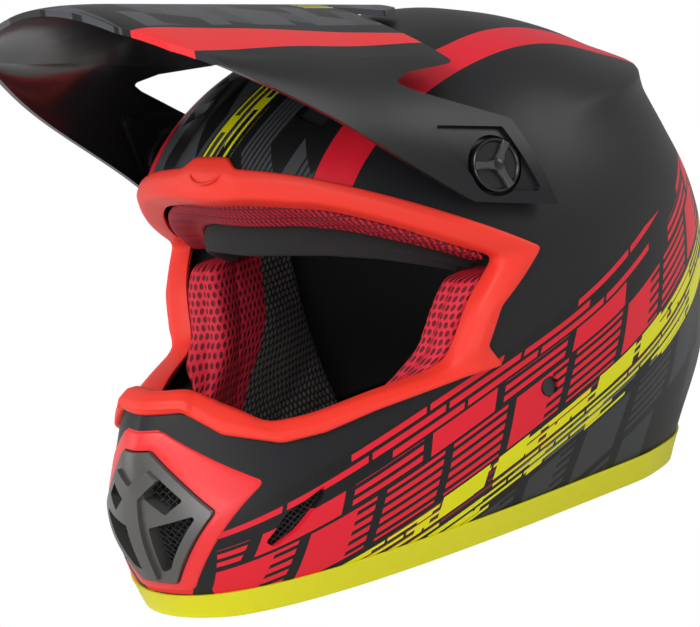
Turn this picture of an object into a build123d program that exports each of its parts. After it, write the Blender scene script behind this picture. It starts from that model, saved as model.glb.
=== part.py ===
from build123d import *
import os
from math import sin, cos, pi, sqrt

# Off-road full-face helmet. Millimetres. The face looks along -Y, the wearer's left is +X, up is +Z.
# The helmet stands on the front and the back of its neck rim, which touch the plane z = 0.

# ---- driving sizes --------------------------------------------------------------------------
shell_width = 250.0          # across the cheeks
chin_reach = 201.0           # from the neck centre to the tip of the chin bar
nape_reach = 164.0           # from the neck centre to the back of the shell
crown_height = 246.0         # table to the top of the shell
shell_wall = 3.0
seat = 0.3                   # clearance left wherever one piece lies on another
foam_wall = 30.0             # impact foam at the sides
comfort_wall = 8.0
trim_lip = 1.5               # how far the rubber trims stand proud of the shell
rim_height = 13.0
rim_inner = 9.5              # height of the rim's inner lip
rim_arch = 7.0               # how far the sides of the rim rise off the table
pivot_y = -49.0              # side screw of the peak
pivot_drop = 61.0            # side screw of the peak below the crown
pocket_dia = 29.0
knob_dia = 25.0
peak_wall = 3.0
peak_front = -206.0
peak_rise = 0.213            # slope of the middle of the peak
insert_dia = 12.0
shank_dia = 8.0
strap_width = 22.0
strap_thick = 2.0
rivet_y = -34.0
rivet_z = 74.0
rivet_dia = 9.0
mesh_thick = 1.2

pivot_z = crown_height - pivot_drop
rise = crown_height - 246.0
wide = shell_width / 250.0
front = chin_reach / 201.0
back = nape_reach / 164.0
tall = crown_height / 246.0

# Shell sections from the neck up: height, half width, centre line, front, back, front roundness
# and how far the crease round the back stands out.
stations = [
    (-8, 93, 28, -184, 111, 2.15, 0), (7, 98, 25, -190, 123, 2.12, 0),
    (22, 103, 22, -195, 135, 2.1, 0), (48, 113, 17, -201, 153, 1.86, 0),
    (70, 120, 14, -199, 158, 1.62, 0), (92, 124, 10, -192, 161, 1.5, 0),
    (117, 125, 8, -176, 164, 1.7, 0), (142, 124, 8, -159, 158, 2.0, 0),
    (165, 120, 8, -144, 149, 2.0, -1), (184, 114, 8, -132, 143, 2.0, -2),
    (198, 106.5, 8, -122, 128, 2.0, 6), (211, 96, 8, -108, 110, 2.0, 1),
    (223, 81.5, 8, -89, 90, 2.0, 0), (233, 63, 8, -66, 68, 2.0, 0),
    (240, 44, 8, -42, 47, 2.0, 0), (244.4, 22, 8, -15, 30, 2.0, 0),
]
stations = [(z * tall, a * wide, c, f * front, b * back, n, r) for z, a, c, f, b, n, r in stations]
mid_z = 117 * tall
apex = (0, 8, crown_height)
turns = 28                   # points round each section


def bent(reach, least, grow):
    return reach * (1 + grow / max(reach, least))


def lifted(z, grow):
    if z <= mid_z:
        return z
    return mid_z + (z - mid_z) * (1 + grow / (crown_height - mid_z))


def ring_points(station, grow):
    z, a, c, f, b, n, crease = station
    a = bent(a, 114 * wide, grow)
    ahead = bent(c - f, 150 * front, grow)
    behind = bent(b - c, 138 * back, grow)
    points = []
    for i in range(turns):
        t = 2 * pi * i / turns
        s, k = sin(t), cos(t)
        if k < 0:
            x = a * abs(s) ** (2 / n) * (1 if s > 0 else -1)
            y = c - ahead * abs(k) ** (2 / n)
        else:
            out = 1 + crease * k ** 0.75 / a
            x, y = a * s * out, c + behind * k * out
        points.append((x, y, lifted(z, grow)))
    return points


made = {}


def skin(grow):
    """The head-shaped body whose surface lies `grow` outside the shell surface."""
    if grow not in made:
        steps = [i / turns for i in range(turns + 1)]
        wires = [Wire([Edge.make_spline([Vector(*p) for p in ring_points(s, grow)],
                                        periodic=True, parameters=steps)]) for s in stations]
        top = Vertex(apex[0], apex[1], lifted(apex[2], grow))
        made[grow] = Solid.make_loft(wires + [top])
    return made[grow]


def wall(outside, inside):
    """Hollow dome between two skins, open at the neck."""
    bodies = skin(outside), skin(inside)
    domes = [max(b.faces(), key=lambda f: f.area) for b in bodies]
    floors = [min(b.faces(), key=lambda f: f.area) for b in bodies]
    rim = Face(floors[0].outer_wire(), [floors[1].outer_wire()])
    return Solid(Shell(domes + [rim]))


def station_at(z):
    low = max([s for s in stations if s[0] <= z], default=stations[0])
    high = min([s for s in stations if s[0] > z], default=stations[-1])
    if high[0] == low[0]:
        return low
    k = (z - low[0]) / (high[0] - low[0])
    return tuple(p + (q - p) * k for p, q in zip(low, high))


def side_x(y, z, grow=0.0):
    """Half width of the shell at a place seen from the side."""
    _, a, c, f, b, n, _ = station_at(z)
    a = bent(a, 114 * wide, grow)
    if y < c:
        ratio = min(1.0, (c - y) / bent(c - f, 150 * front, grow))
        return a * (1 - ratio ** n) ** (1 / n)
    return a * sqrt(max(0.0, 1 - ((y - c) / bent(b - c, 138 * back, grow)) ** 2))


spread = side_x(pivot_y, pivot_z) * (1 - 1 / wide)    # the peak follows the width at its screws


def grown(points, grow):
    """Corners of an outline whose sides have all moved out by grow."""
    corners = [Vector(*p) for p in points]
    turn = sum(p.X * q.Y - q.X * p.Y for p, q in zip(corners, corners[1:] + corners[:1]))
    moved = []
    for i, corner in enumerate(corners):
        a = (corner - corners[i - 1]).normalized()
        b = (corners[(i + 1) % len(corners)] - corner).normalized()
        out = [Vector(d.Y, -d.X) * (1 if turn > 0 else -1) for d in (a, b)]
        moved.append(corner + (out[0] + out[1]) * (grow / (1 + out[0].dot(out[1]))))
    return [(p.X, p.Y) for p in moved]


def soft_face(points, radius, grow=0.0):
    """Outline whose corners are drawn as free curves that start `radius` away from the corner."""
    points = grown(points, grow)
    edges, last = [], None
    for i, corner in enumerate(points):
        corner = Vector(*corner)
        legs = [Vector(*points[i - 1]) - corner, Vector(*points[(i + 1) % len(points)]) - corner]
        ends = [corner + leg.normalized() * min(radius, 0.45 * leg.length) for leg in legs]
        if last:
            edges.append(Line(last, ends[0]))
        edges.append(Bezier(ends[0], corner, ends[1]))
        last = ends[1]
    edges.append(Line(last, edges[0] @ 0))
    return make_face(Wire(edges))


def outline(points, radius=0.0, grow=0.0):
    face = make_face(Polyline(*points, close=True))
    if radius:
        face = fillet(face.vertices(), radius)
    if grow:
        face = offset(face, grow, kind=Kind.INTERSECTION)
    return face


def side_prism(points, radius=0.0, x0=-170.0, x1=170.0, grow=0.0):
    """Side-view outline (y, z) carried straight across from x0 to x1."""
    return Pos(x0, 0, 0) * extrude(Plane.YZ * outline(points, radius, grow), amount=x1 - x0)


def front_prism(points, radius=0.0, y0=-260.0, y1=-100.0):
    """Front-view outline (x, z) carried from y0 back to y1."""
    return Pos(0, y1, 0) * extrude(Plane.XZ * outline(points, radius), amount=y1 - y0)


def plan_prism(points, radius=0.0, z0=-30.0, z1=330.0):
    return Pos(0, 0, z0) * extrude(outline(points, radius), amount=z1 - z0)


def slab(x0, x1, y0, y1, z0, z1):
    return Pos((x0 + x1) / 2, (y0 + y1) / 2, (z0 + z1) / 2) * Box(x1 - x0, y1 - y0, z1 - z0)


def solid(shape):
    """Largest single solid of a result."""
    return max(shape.solids(), key=lambda s: s.volume)


def mirrored(points):
    """Right half of a front or plan outline completed with its left half."""
    return points + [(-x, z) for x, z in reversed(points) if x > 0.01]


pieces = {}


def keep(name, shape, color):
    body = solid(shape)
    body.label = name
    body.color = Color(*color)
    pieces[name] = body


def keep_pair(name, shape, color):
    """A left piece and its mirror image on the right."""
    keep(name + "_left", shape, color)
    keep(name + "_right", mirror(solid(shape), about=Plane.YZ), color)


def both(shape):
    return [shape, mirror(shape, about=Plane.YZ)]


black = (0.03, 0.03, 0.035)
red = (0.85, 0.06, 0.05)
yellow = (0.85, 0.8, 0.02)
grey = (0.16, 0.16, 0.17)
steel = (0.6, 0.6, 0.62)

# ---- eyeport outlines, seen from the side (y, z) ----------------------------------------------
brow_z = 199.5 * tall
port_outer = [(-300, brow_z + 2), (-122, brow_z), (-112, 194), (-33, 142), (-57, 120), (-64, 102),
              (-57, 91), (-75, 90), (-116, 84), (-138, 79), (-155, 78), (-173, 86), (-181, 98),
              (-300, 98)]
port_inner = [(-300, 188), (-127, 187), (-112, 181.5), (-52, 142), (-69, 119), (-76, 101), (-88, 93),
              (-116, 91), (-140, 88), (-157, 88), (-170, 100), (-176, 109), (-300, 111)]
port_round = 4.5


def port_prism(points, grow=0.0):
    face = soft_face(points, port_round, grow)
    return Pos(-170, 0, 0) * extrude(Plane.YZ * face, amount=340)


port_cut = port_prism(port_outer)


def tab_prism(grow=0.0):
    """Front-view tab in the middle of the brow, where the trim widens."""
    points = [(-20, brow_z - 6), (-19, brow_z), (-9.5, brow_z + 4.5), (9.5, brow_z + 4.5),
              (19, brow_z), (20, brow_z - 6)]
    face = soft_face(points, 4, grow)
    return Pos(0, -60, 0) * extrude(Plane.XZ * face, amount=200)


brow_tab = tab_prism()

# ---- neck rim levels --------------------------------------------------------------------------
rim_front, rim_back = -188.0, 124.0


def rim_band(lift, top):
    """Side-view strip above the arched underside of the rim, from lift up to top."""
    middle = (rim_front + rim_back) / 2
    end = lift + rim_arch - 12.3
    under = ThreePointArc((rim_front - 40, end), (middle, lift + rim_arch), (rim_back + 40, end))
    over = Polyline((rim_back + 40, end), (rim_back + 40, top), (rim_front - 40, top),
                    (rim_front - 40, end))
    return Pos(-170, 0, 0) * extrude(Plane.YZ * make_face([under] + [over]), amount=340)


# ---- peak surface -------------------------------------------------------------------------------
# Cross sections: place along Y, then ridge, knee and lower edge of the side panel as (x, z).
hood = [
    (-208, (66, 269), (70, 265), (74, 260)), (-178, (75, 266.5), (80, 263), (84, 256)),
    (-145, (77, 258.5), (91, 248), (100, 234)), (-110, (78, 250.5), (98, 231), (107, 205)),
    (-80, (78, 243), (101, 219), (109.5, 180)), (-49, (78, 237), (105.5, 211), (118.5, 163)),
    (-24, (78, 231), (109.5, 205), (128, 157)), (6, (76, 224), (113, 200), (137, 150)),
]


def lifted_points(points):
    """Side-view outline of the peak, kept level with the crown."""
    return [(y, z + rise) for y, z in points]


def peak_middle(y):
    z = crown_height + 6.3 - peak_rise * y
    return z - 3.0 * max(0.0, (-170 - y) / 36) ** 2


def hood_layer(depth, thick):
    """Shell of the peak between a depth below its outer surface and depth + thick."""
    wires = []
    for row in hood:
        y = row[0]
        ridge, knee, edge = [(x + spread, z + rise) for x, z in row[1:]]
        lines = []
        for d in (depth, depth + thick):
            middle = Vector(0, y, peak_middle(y) - d)
            shoulder = Vector(ridge[0] * 0.55, y, (peak_middle(y) - ridge[1]) * 0.66 + ridge[1] - d)
            corner = Vector(ridge[0] - 0.5 * d, y, ridge[1] - d)
            bend = Vector(knee[0] - 0.8 * d, y, knee[1] - 0.6 * d)
            foot = Vector(edge[0] - d, y, edge[1] - 0.15 * d)
            flip = [Vector(-p.X, p.Y, p.Z) for p in (shoulder, corner, bend, foot)]
            top = Edge.make_spline([flip[1], flip[0], middle, shoulder, corner])
            lines.append((top, Edge.make_spline([corner, bend, foot]),
                          Edge.make_spline([flip[3], flip[2], flip[1]]), foot, flip[3]))
        outer, inner = lines
        wires.append(Wire([outer[0], outer[1], Edge.make_line(outer[3], inner[3]), inner[1],
                           inner[0], inner[2], Edge.make_line(inner[4], outer[4]), outer[2]]))
    return Solid.make_loft(wires)


# Axis of the side screw: square to the lobe of the peak.
lobe_x = 116.3 + spread
screw = Plane(origin=(lobe_x, pivot_y, pivot_z), x_dir=(0, 0, 1), z_dir=(1, -0.227, 0.224))


def along_screw(radius, outer, inner):
    """Rod on the screw axis between two distances outside the lobe surface."""
    return screw * Pos(0, 0, (outer + inner) / 2) * Cylinder(radius, outer - inner)


# ---- outer shell --------------------------------------------------------------------------------
shell_lift = 4.5
shell = wall(0.0, -shell_wall) & rim_band(shell_lift, 400)
shell -= port_prism(port_outer, seat)
shell -= tab_prism(seat)

# raised facets round the mouth vent
diamond = [(0, 92), (11, 91), (50, 63), (17, 15), (0, 13)]
plate = wall(1.4, -1.5) & front_prism(mirrored(diamond), 2, -260, -140)
shell += solid(plate)

# mouth opening behind the vent frame, chin side slots
vent = [(0, 83), (9, 83), (37, 53), (12, 19), (0, 19)]
shell -= front_prism(mirrored(vent), 2)
slot_hole = [(-172, 35), (-163, 47), (-146, 56), (-148, 51), (-160, 38), (-169, 32)]
shell -= side_prism(slot_hole, 0.8)

# seats of the side screws and the strap rivets, roof vents under the peak
for rod in both(along_screw(insert_dia / 2 + seat, 20, -60)):
    shell -= rod
shell -= Pos(0, rivet_y, rivet_z) * Rot(0, 90, 0) * Cylinder(rivet_dia / 2 + seat, 300)
for side in (-1, 1):
    for y in (-86, -60):
        shell -= Pos(side * 40, y, 230) * Box(16, 11, 60)
keep("outer_shell", shell, black)

# ---- neck rim trim ------------------------------------------------------------------------------
ground = slab(-250, 250, -300, 300, 0, 400)
rim = (wall(trim_lip, -7.0) & rim_band(0.0, 60)) - rim_band(rim_height, 60)
rim -= wall(seat, -shell_wall - seat) & rim_band(shell_lift - seat, 60)
rim -= wall(-shell_wall + 1, -8.0) & rim_band(rim_inner, 60)
keep("neck_rim_trim", rim & ground, yellow)

# ---- eyeport trim -------------------------------------------------------------------------------
trim = wall(trim_lip, -13.0) & port_cut
trim += solid(wall(trim_lip, -shell_wall) & brow_tab)
oval = Pos(0, 0, brow_z - 1.5) * extrude(Plane.XZ * (Ellipse(10.5, 4.7) - Ellipse(9.3, 3.6)), amount=260)
trim += solid(wall(trim_lip + 0.6, 0.0) & oval)
boss = front_prism([(-25, 110), (-22, 99), (22, 99), (25, 110)], 3, -260, -100)
trim += solid(wall(trim_lip + 1.0, 0.0) & boss)
trim -= port_prism(port_inner)
keep("eyeport_trim", trim, red)

# ---- impact foam --------------------------------------------------------------------------------
foam_out = -shell_wall - seat
foam_in = -shell_wall - foam_wall
foam_low = 44.0
front_gap = [(-300, brow_z + 4), (-121, brow_z + 2), (-111, 196), (-29, 142.5), (-53, 120),
             (-60, 102), (-53, 90), (-46, 84), (-46, 20), (-300, 20)]
strap_slot = wall(foam_out + 1, -15.0) & slab(-170, 170, rivet_y - 14, rivet_y + 14, 0, 88)
strap_exit = slab(-170, 170, rivet_y - 14, rivet_y + 14, 0, 26)
foam = wall(foam_out, foam_in) & slab(-200, 200, -250, 250, foam_low, 300)
foam -= side_prism(front_gap)
foam -= strap_slot
for rod in both(along_screw(insert_dia / 2 + seat, 20, -60)):
    foam -= rod
keep("impact_liner", foam, grey)

chin_top = 77.0
frame_back = -9.0
filter_thick = 7.0
chin_low = 17.5
chin_side = [(-300, chin_low), (-300, 96), (-190, 96), (-172, 84), (-158, chin_top - 1),
             (-116, chin_top + 1), (-46.3, chin_top + 6), (-46.3, foam_low - seat),
             (-8, foam_low - seat), (-8, chin_low)]
chin = wall(foam_out, -26.0) & side_prism(chin_side)
chin -= wall(0.0, frame_back - 2 * seat - mesh_thick - filter_thick - seat) & front_prism(
    mirrored(vent), 2, -260, -140)
tunnel = [(0, 74), (20, 68), (24, 44), (10, 27), (0, 27)]
chin -= front_prism(mirrored(tunnel), 2)
chin -= side_prism([(-174, 33), (-164, 49), (-144, 58), (-146, 48), (-160, 34), (-170, 29)])
chin -= strap_slot
chin -= strap_exit
keep("chin_bar_liner", chin, grey)

# ---- mouth vent ---------------------------------------------------------------------------------
frame_edge = [(0, 83 - seat), (9 - seat, 83 - seat), (37 - 1.3 * seat, 53), (12 - seat, 19 + seat),
              (0, 19 + seat)]
frame = wall(2.6, frame_back) & front_prism(mirrored(frame_edge), 2, -260, -140)
upper_window = [(7, 74), (12, 73), (25, 60), (17, 54), (7, 62)]
lower_window = [(7.5, 48), (17, 50), (31, 53), (12.5, 27), (7, 25)]
for window in (upper_window, lower_window):
    for side in (1, -1):
        frame -= front_prism([(side * x, z) for x, z in window], 1.2)
rib = wall(5.0, 1.0) & front_prism([(-5, 62), (-3.5, 21), (3.5, 21), (5, 62), (14.5, 70), (10, 75),
                                    (0, 68), (-10, 75), (-14.5, 70)], 1, -260, -150)
frame += solid(rib)
keep("mouth_vent_frame", frame, grey)

mesh_edge = [(0, 79), (7, 79), (33, 53), (10, 23), (0, 23)]
mesh = wall(frame_back - seat, frame_back - seat - mesh_thick)
keep("mouth_vent_mesh", mesh & front_prism(mirrored(mesh_edge), 2, -260, -140), black)
pad_face = frame_back - 2 * seat - mesh_thick
filter_pad = wall(pad_face, pad_face - filter_thick)
keep("mouth_vent_filter", filter_pad & front_prism(mirrored(mesh_edge), 2, -260, -140), black)

slot_mesh = [(-173.5, 33.5), (-164, 48.5), (-145, 57), (-147, 49), (-160, 35), (-169.5, 30)]
patch = wall(-shell_wall - seat, -shell_wall - seat - mesh_thick)
keep_pair("chin_mesh", patch & side_prism(slot_mesh, 0.8, 0, 170), black)

# ---- comfort liner and pads ---------------------------------------------------------------------
pad_out = foam_in - seat
pad_in = pad_out - comfort_wall
dome = wall(pad_out, pad_in) & slab(-200, 200, -250, 250, 124, 300)
dome -= side_prism([(-300, 230), (-84, 230), (-84, 198), (-8, 146), (-8, 100), (-300, 100)])
keep("crown_liner", dome, black)

lining = wall(-13.5, -32.5) & side_prism([(-118, 198), (-120, 191), (-108, 184), (-52, 147),
                                          (-36, 142), (-32, 141.5), (-111.5, 195)])
keep("brow_lining", lining, red)
brow = wall(pad_out, pad_out - 10) & side_prism([(-120, 206), (-84.5, 206), (-84.5, 197.5),
                                                 (-9, 145.8), (-18, 139), (-60, 158), (-100, 183),
                                                 (-120, 192)])
keep("brow_pad", brow, black)

pad_deep = -50.0
pad_low = 26.5
pad = solid(wall(pad_out, pad_deep) & side_prism([(-62, pad_low), (-9, pad_low), (-9, 121),
                                                 (-62, 121)], 0, 48, 170))
pad += solid(wall(-26.5, pad_deep) & side_prism([(-122, 75), (-126, 44), (-112, pad_low),
                                                (-46.6, pad_low), (-46.6, 75)], 0, 48, 170))
pad += solid(wall(-27.0, pad_deep) & side_prism([(-112, 70), (-92, 94), (-74, 108), (-68, 121),
                                                (-54.5, 121), (-61, 102), (-54.5, 90),
                                                (-47, 83), (-47, 70)], 0, 48, 170))
keep_pair("cheek_pad", pad, red)

roll = wall(-shell_wall - 2 * seat, -30.0) & slab(-150, 150, -7, 200, 18, foam_low - seat)
keep("neck_roll", roll, black)

# ---- peak ---------------------------------------------------------------------------------------
tip_y = -33.0                # rear tips of the fins
plan = [(0, peak_front), (42, peak_front + 5), (65, peak_front + 15), (80, -177), (98, -163),
        (160, -120), (160, 40), (93, 40), (93, -34), (79, tip_y), (50, -39), (17, -43),
        (25, -14), (17, 1), (0, 4)]
lower = lifted_points([(-24, 160), (-64, 171), (-80, 184), (-177, 261), (-240, 262), (-240, 340),
                       (40, 340), (40, 216), (-30, 204)])
fin_slot = lifted_points([(-82, 231.5), (-69, 233.4), (-37, 230.5), (60, 250), (60, 190),
                          (-29.5, 202.5), (-58, 217.5), (-74, 226)])
keep_in = plan_prism(mirrored(plan), 1.5) & side_prism(lower, 1.0)
peak = (hood_layer(0, peak_wall) & keep_in) - side_prism(fin_slot, 1.0)

lobe = lifted_points([(-82, 214), (-34, 203.8), (-26, 163), (-62, 171.5)])
pocket = lifted_points([(-76, 210), (-37.5, 200.5), (-30, 167.8), (-60, 176)])
bowl_depth = 2.2
cup_depth = 5.4
cup_wall = 2.0
shell_gap = 1.3              # between the cups of the peak and the shell
bowl = hood_layer(0, bowl_depth + peak_wall) & side_prism(lobe, 2, 60, 170)
bowl -= hood_layer(-2, bowl_depth + 2) & side_prism(pocket, 2, 60, 170)
cup = hood_layer(1, cup_depth + cup_wall - 1) & along_screw(pocket_dia / 2 + 2.2, 30, -30)
cup &= slab(60, 170, -140, 20, 140 + rise, 204 + rise)
cup -= skin(shell_gap)
dish = hood_layer(-3, bowl_depth + 3) & side_prism(pocket, 2, 60, 170)
well = hood_layer(-3, cup_depth + 3) & along_screw(pocket_dia / 2, 30, -30)
for part in (bowl, cup):
    for half in both(solid(part)):
        peak += half
for part in (dish, well):
    for half in both(solid(part)):
        peak -= half
hole = along_screw(shank_dia / 2 + 1.4, 20, -30)
for rod in both(hole):
    peak -= rod
keep("peak", peak, black)

# ---- side screws of the peak -----------------------------------------------------------------------
floor = -cup_depth
knob = along_screw(knob_dia / 2, floor + 4.2, floor + 1.4) + along_screw(4.9, floor + 2, floor + seat + 0.06)
knob += along_screw(5.0, floor + 7.0, floor + 4)
for i in range(3):
    arm = Pos(0, 0, floor + 5.0) * Rot(0, 0, 120 * i + 20) * Pos(knob_dia / 4, 0, 0)
    knob += screw * arm * Box(knob_dia / 2 - 0.6, 3.2, 2.6)
knob += along_screw(shank_dia / 2, floor + 2, floor - 22)
keep_pair("side_knob", knob, black)

under = floor - cup_wall - seat
spacer = along_screw(6.4, under, -30) - skin(seat) - along_screw(shank_dia / 2 + seat, 30, -60)
keep_pair("peak_spacer", spacer, black)
insert = (along_screw(insert_dia / 2, under - 1, floor - 28) & skin(-0.2))
insert -= along_screw(shank_dia / 2 + seat, 30, floor - 23)
keep_pair("screw_insert", insert, steel)

# ---- chin straps ------------------------------------------------------------------------------------
strap_edge = rivet_y - strap_width / 2
strap_x = side_x(strap_edge, rivet_z - 9) - shell_wall - 2 * seat
low_x = side_x(strap_edge, 26) - shell_wall - 2 * seat
drop = rim_arch + rim_inner + 1.2    # underside of the strap where it crosses the neck opening


def strap_run(end_x):
    """Webbing from the rivet down inside the shell, then level towards the middle."""
    path = [(strap_x, rivet_z + 11), (strap_x, rivet_z - 9), (low_x, 27), (low_x - 4, drop + 2),
            (low_x - 8, drop), (end_x, drop)]
    t = strap_thick
    back = [(x - t, z) for x, z in path[:3]] + [(low_x - 4 - t, drop + 2 + t),
                                                (low_x - 8 - t, drop + t), (end_x, drop + t)]
    strip = outline(path + list(reversed(back)))
    return Pos(0, rivet_y + strap_width / 2, 0) * extrude(Plane.XZ * strip, amount=strap_width)


def capsule(x, z0, z1, radius, length):
    """Upright flattened tube lying along Y."""
    body = Pos(x, rivet_y, (z0 + z1) / 2) * Box(2 * radius, length, z1 - z0)
    for z in (z0, z1):
        body += Pos(x, rivet_y, z) * Rot(90, 0, 0) * Cylinder(radius, length)
    return body


eye = Pos(strap_x, rivet_y, rivet_z) * Rot(0, 90, 0) * Cylinder(rivet_dia / 2 + seat, 40)
ring_x = 34.0
ring_bar = 2.2
ring_step = 3.2
ring_low = drop - 0.6
left = strap_run(ring_x + 2) - eye
left += capsule(ring_x, ring_low, ring_low + ring_step, 3.9, strap_width - 6)
left -= capsule(ring_x, ring_low, ring_low + ring_step, 2.3, 60)
keep("strap_left", left, black)
keep("strap_right", mirror(strap_run(-2) - eye, about=Plane.YZ), black)
for name, level in (("strap_ring_lower", ring_low), ("strap_ring_upper", ring_low + ring_step)):
    wide_d = strap_width + 6
    flat = Pos(ring_x - 7, rivet_y) * Rectangle(14 + ring_bar, wide_d)
    flat += Pos(ring_x - 14, rivet_y) * Ellipse(8, wide_d / 2)
    gap = Pos(ring_x - 7, rivet_y) * Rectangle(14 - ring_bar, wide_d - 2 * ring_bar)
    gap += Pos(ring_x - 14, rivet_y) * Ellipse(8 - ring_bar, wide_d / 2 - ring_bar)
    keep(name, Pos(0, 0, level - ring_bar / 2) * extrude(flat - gap, amount=ring_bar), steel)
snap = Pos(-6, rivet_y, drop + strap_thick + seat + 1.2) * Cylinder(6, 2.4)
snap += Pos(-6, rivet_y, drop + strap_thick + seat + 3.2) * Cylinder(3.2, 2.4)
keep("strap_snap", snap, black)

# ---- strap rivets ------------------------------------------------------------------------------------
rivet_out = side_x(rivet_y, rivet_z) - 0.4
rivet_in = strap_x - strap_thick - seat - 1.6
rivet = Pos((rivet_out + rivet_in) / 2, rivet_y, rivet_z) * Rot(0, 90, 0)
rivet = rivet * Cylinder(rivet_dia / 2, rivet_out - rivet_in)
flange = Pos(rivet_in + 0.8, rivet_y, rivet_z) * Rot(0, 90, 0) * Cylinder(8, 1.6)
keep_pair("strap_rivet", rivet + flange, black)

# ---- files -------------------------------------------------------------------------------------------
os.makedirs("parts", exist_ok=True)
for name, body in pieces.items():
    export_step(body, "parts/" + name + ".step")
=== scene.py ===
import math

import bpy
import bmesh
import numpy as np
from mathutils import Matrix, Vector


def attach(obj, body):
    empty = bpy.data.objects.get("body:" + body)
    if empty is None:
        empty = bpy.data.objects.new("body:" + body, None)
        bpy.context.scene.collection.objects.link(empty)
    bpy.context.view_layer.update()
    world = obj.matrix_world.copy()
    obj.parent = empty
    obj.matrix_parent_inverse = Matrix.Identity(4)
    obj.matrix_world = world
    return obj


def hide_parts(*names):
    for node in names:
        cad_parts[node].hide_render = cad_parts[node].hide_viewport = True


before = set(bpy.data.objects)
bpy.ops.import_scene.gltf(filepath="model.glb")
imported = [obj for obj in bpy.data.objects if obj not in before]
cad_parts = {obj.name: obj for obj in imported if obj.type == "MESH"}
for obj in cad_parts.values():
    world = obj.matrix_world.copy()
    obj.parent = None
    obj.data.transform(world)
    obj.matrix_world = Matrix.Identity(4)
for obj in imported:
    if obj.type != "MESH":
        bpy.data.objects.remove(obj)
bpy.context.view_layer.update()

bl_info = {
    "name": "Motocross helmet",
    "version": (1, 0, 0),
    "blender": (4, 5, 0),
    "location": "View3D > Sidebar > Helmet",
    "description": "Builds the looks of an off-road full-face helmet on its packed frame",
    "category": "Add Mesh",
}

MM = 0.001
BODY = "helmet"

# ---------------------------------------------------------------- shell surface (millimetres)

# Sections from the neck up: height, half width, centre line, front, back, front roundness
# and how far the crease round the back stands out.
STATIONS = np.array([
    (-8, 93, 28, -184, 111, 2.15, 0), (7, 98, 25, -190, 123, 2.12, 0),
    (22, 103, 22, -195, 135, 2.1, 0), (48, 113, 17, -201, 153, 1.86, 0),
    (70, 120, 14, -199, 158, 1.62, 0), (92, 124, 10, -192, 161, 1.5, 0),
    (117, 125, 8, -176, 164, 1.7, 0), (142, 124, 8, -159, 158, 2.0, 0),
    (165, 120, 8, -144, 149, 2.0, -1), (184, 114, 8, -132, 143, 2.0, -2),
    (198, 106.5, 8, -122, 128, 2.0, 6), (211, 96, 8, -108, 110, 2.0, 1),
    (223, 81.5, 8, -89, 90, 2.0, 0), (233, 63, 8, -66, 68, 2.0, 0),
    (240, 44, 8, -42, 47, 2.0, 0), (244.4, 22, 8, -15, 30, 2.0, 0),
    (246, 0, 8, 8, 8, 2.0, 0), (244.4, -22, 8, 31, -14, 2.0, 0),
], float)
TOP = 16.0              # row number of the crown
MID_Z = 117.0           # a skin moved out keeps its heights below this
CROWN = 246.0
SHELL_WALL = 3.0
SHELL_LOW = 11.5        # lower edge of the hard shell


def catmull(table, s):
    """Smooth interpolation of table rows at fractional row numbers s."""
    s = np.asarray(s, float)
    i = np.clip(np.floor(s).astype(int), 0, len(table) - 2)
    t = (s - i)[..., None]
    last = len(table) - 1
    p1, p2 = table[i], table[i + 1]
    p0 = np.where((i > 0)[..., None], table[np.maximum(i - 1, 0)], 2 * p1 - p2)
    p3 = np.where((i + 2 <= last)[..., None], table[np.minimum(i + 2, last)], 2 * p2 - p1)
    return 0.5 * (2 * p1 + (p2 - p0) * t + (2 * p0 - 5 * p1 + 4 * p2 - p3) * t ** 2
                  + (3 * p1 - p0 - 3 * p2 + p3) * t ** 3)


def bent(reach, least, grow):
    """Reach of the surface when moved out by grow, held back where the reach is short."""
    return reach * (1 + grow / np.maximum(reach, least))


def lifted(z, grow):
    """Height on the surface moved out by grow; only the part above the middle rises."""
    return np.where(z <= MID_Z, z, MID_Z + (z - MID_Z) * (1 + grow / (CROWN - MID_Z)))


def soft_step(x, a, b):
    """0 before a, 1 after b, rounded at both ends."""
    t = np.clip((x - a) / (b - a), 0, 1)
    return t * t * (3 - 2 * t)


def skin(s, u, grow=0.0):
    """Point of the shell surface moved out by grow; u runs round from the nape over the left."""
    row = catmull(STATIONS, s)
    z, a, c, f, b, n, crease = [row[..., k] for k in range(7)]
    a = bent(a, 114.0, grow)
    ahead, behind = bent(c - f, 150.0, grow), bent(b - c, 138.0, grow)
    crease = crease + 1.6 * np.exp(-((z - 197.0) / 3.2) ** 2)
    t = 2 * np.pi * np.asarray(u, float)
    si, co = np.sin(t), np.cos(t)
    e = 2 / np.clip(n, 1.3, 3)
    out = 1 + crease * np.clip(co, 0, 1) ** 0.75 / np.maximum(a, 20)
    x = np.where(co < 0, a * np.sign(si) * np.abs(si) ** e, a * si * out)
    y = np.where(co < 0, c - ahead * np.abs(co) ** e, c + behind * co * out)
    return np.stack([x, y, lifted(z, grow) + 0 * x], -1)


def row_at(z):
    """Row number of the section at height z, below the crown."""
    s = np.linspace(0, TOP, 3001)
    return np.interp(z, catmull(STATIONS, s)[:, 0], s)


def side_x(y, z, grow=0.0):
    """Half width of the surface at places seen from the side."""
    z = np.asarray(z, float)
    lift = 1 + grow / (CROWN - MID_Z)
    base = np.where(z <= MID_Z, z, MID_Z + (z - MID_Z) / lift)
    row = catmull(STATIONS, row_at(base))
    a, c, f, b, n = [row[..., k] for k in range(1, 6)]
    a = bent(a, 114.0, grow)
    ahead, behind = bent(c - f, 150.0, grow), bent(b - c, 138.0, grow)
    r = np.clip((c - y) / ahead, 0, 1)
    q = np.clip((y - c) / behind, 0, 1)
    return np.where(y < c, a * (1 - r ** n) ** (1 / n), a * np.sqrt(1 - q ** 2))


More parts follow.
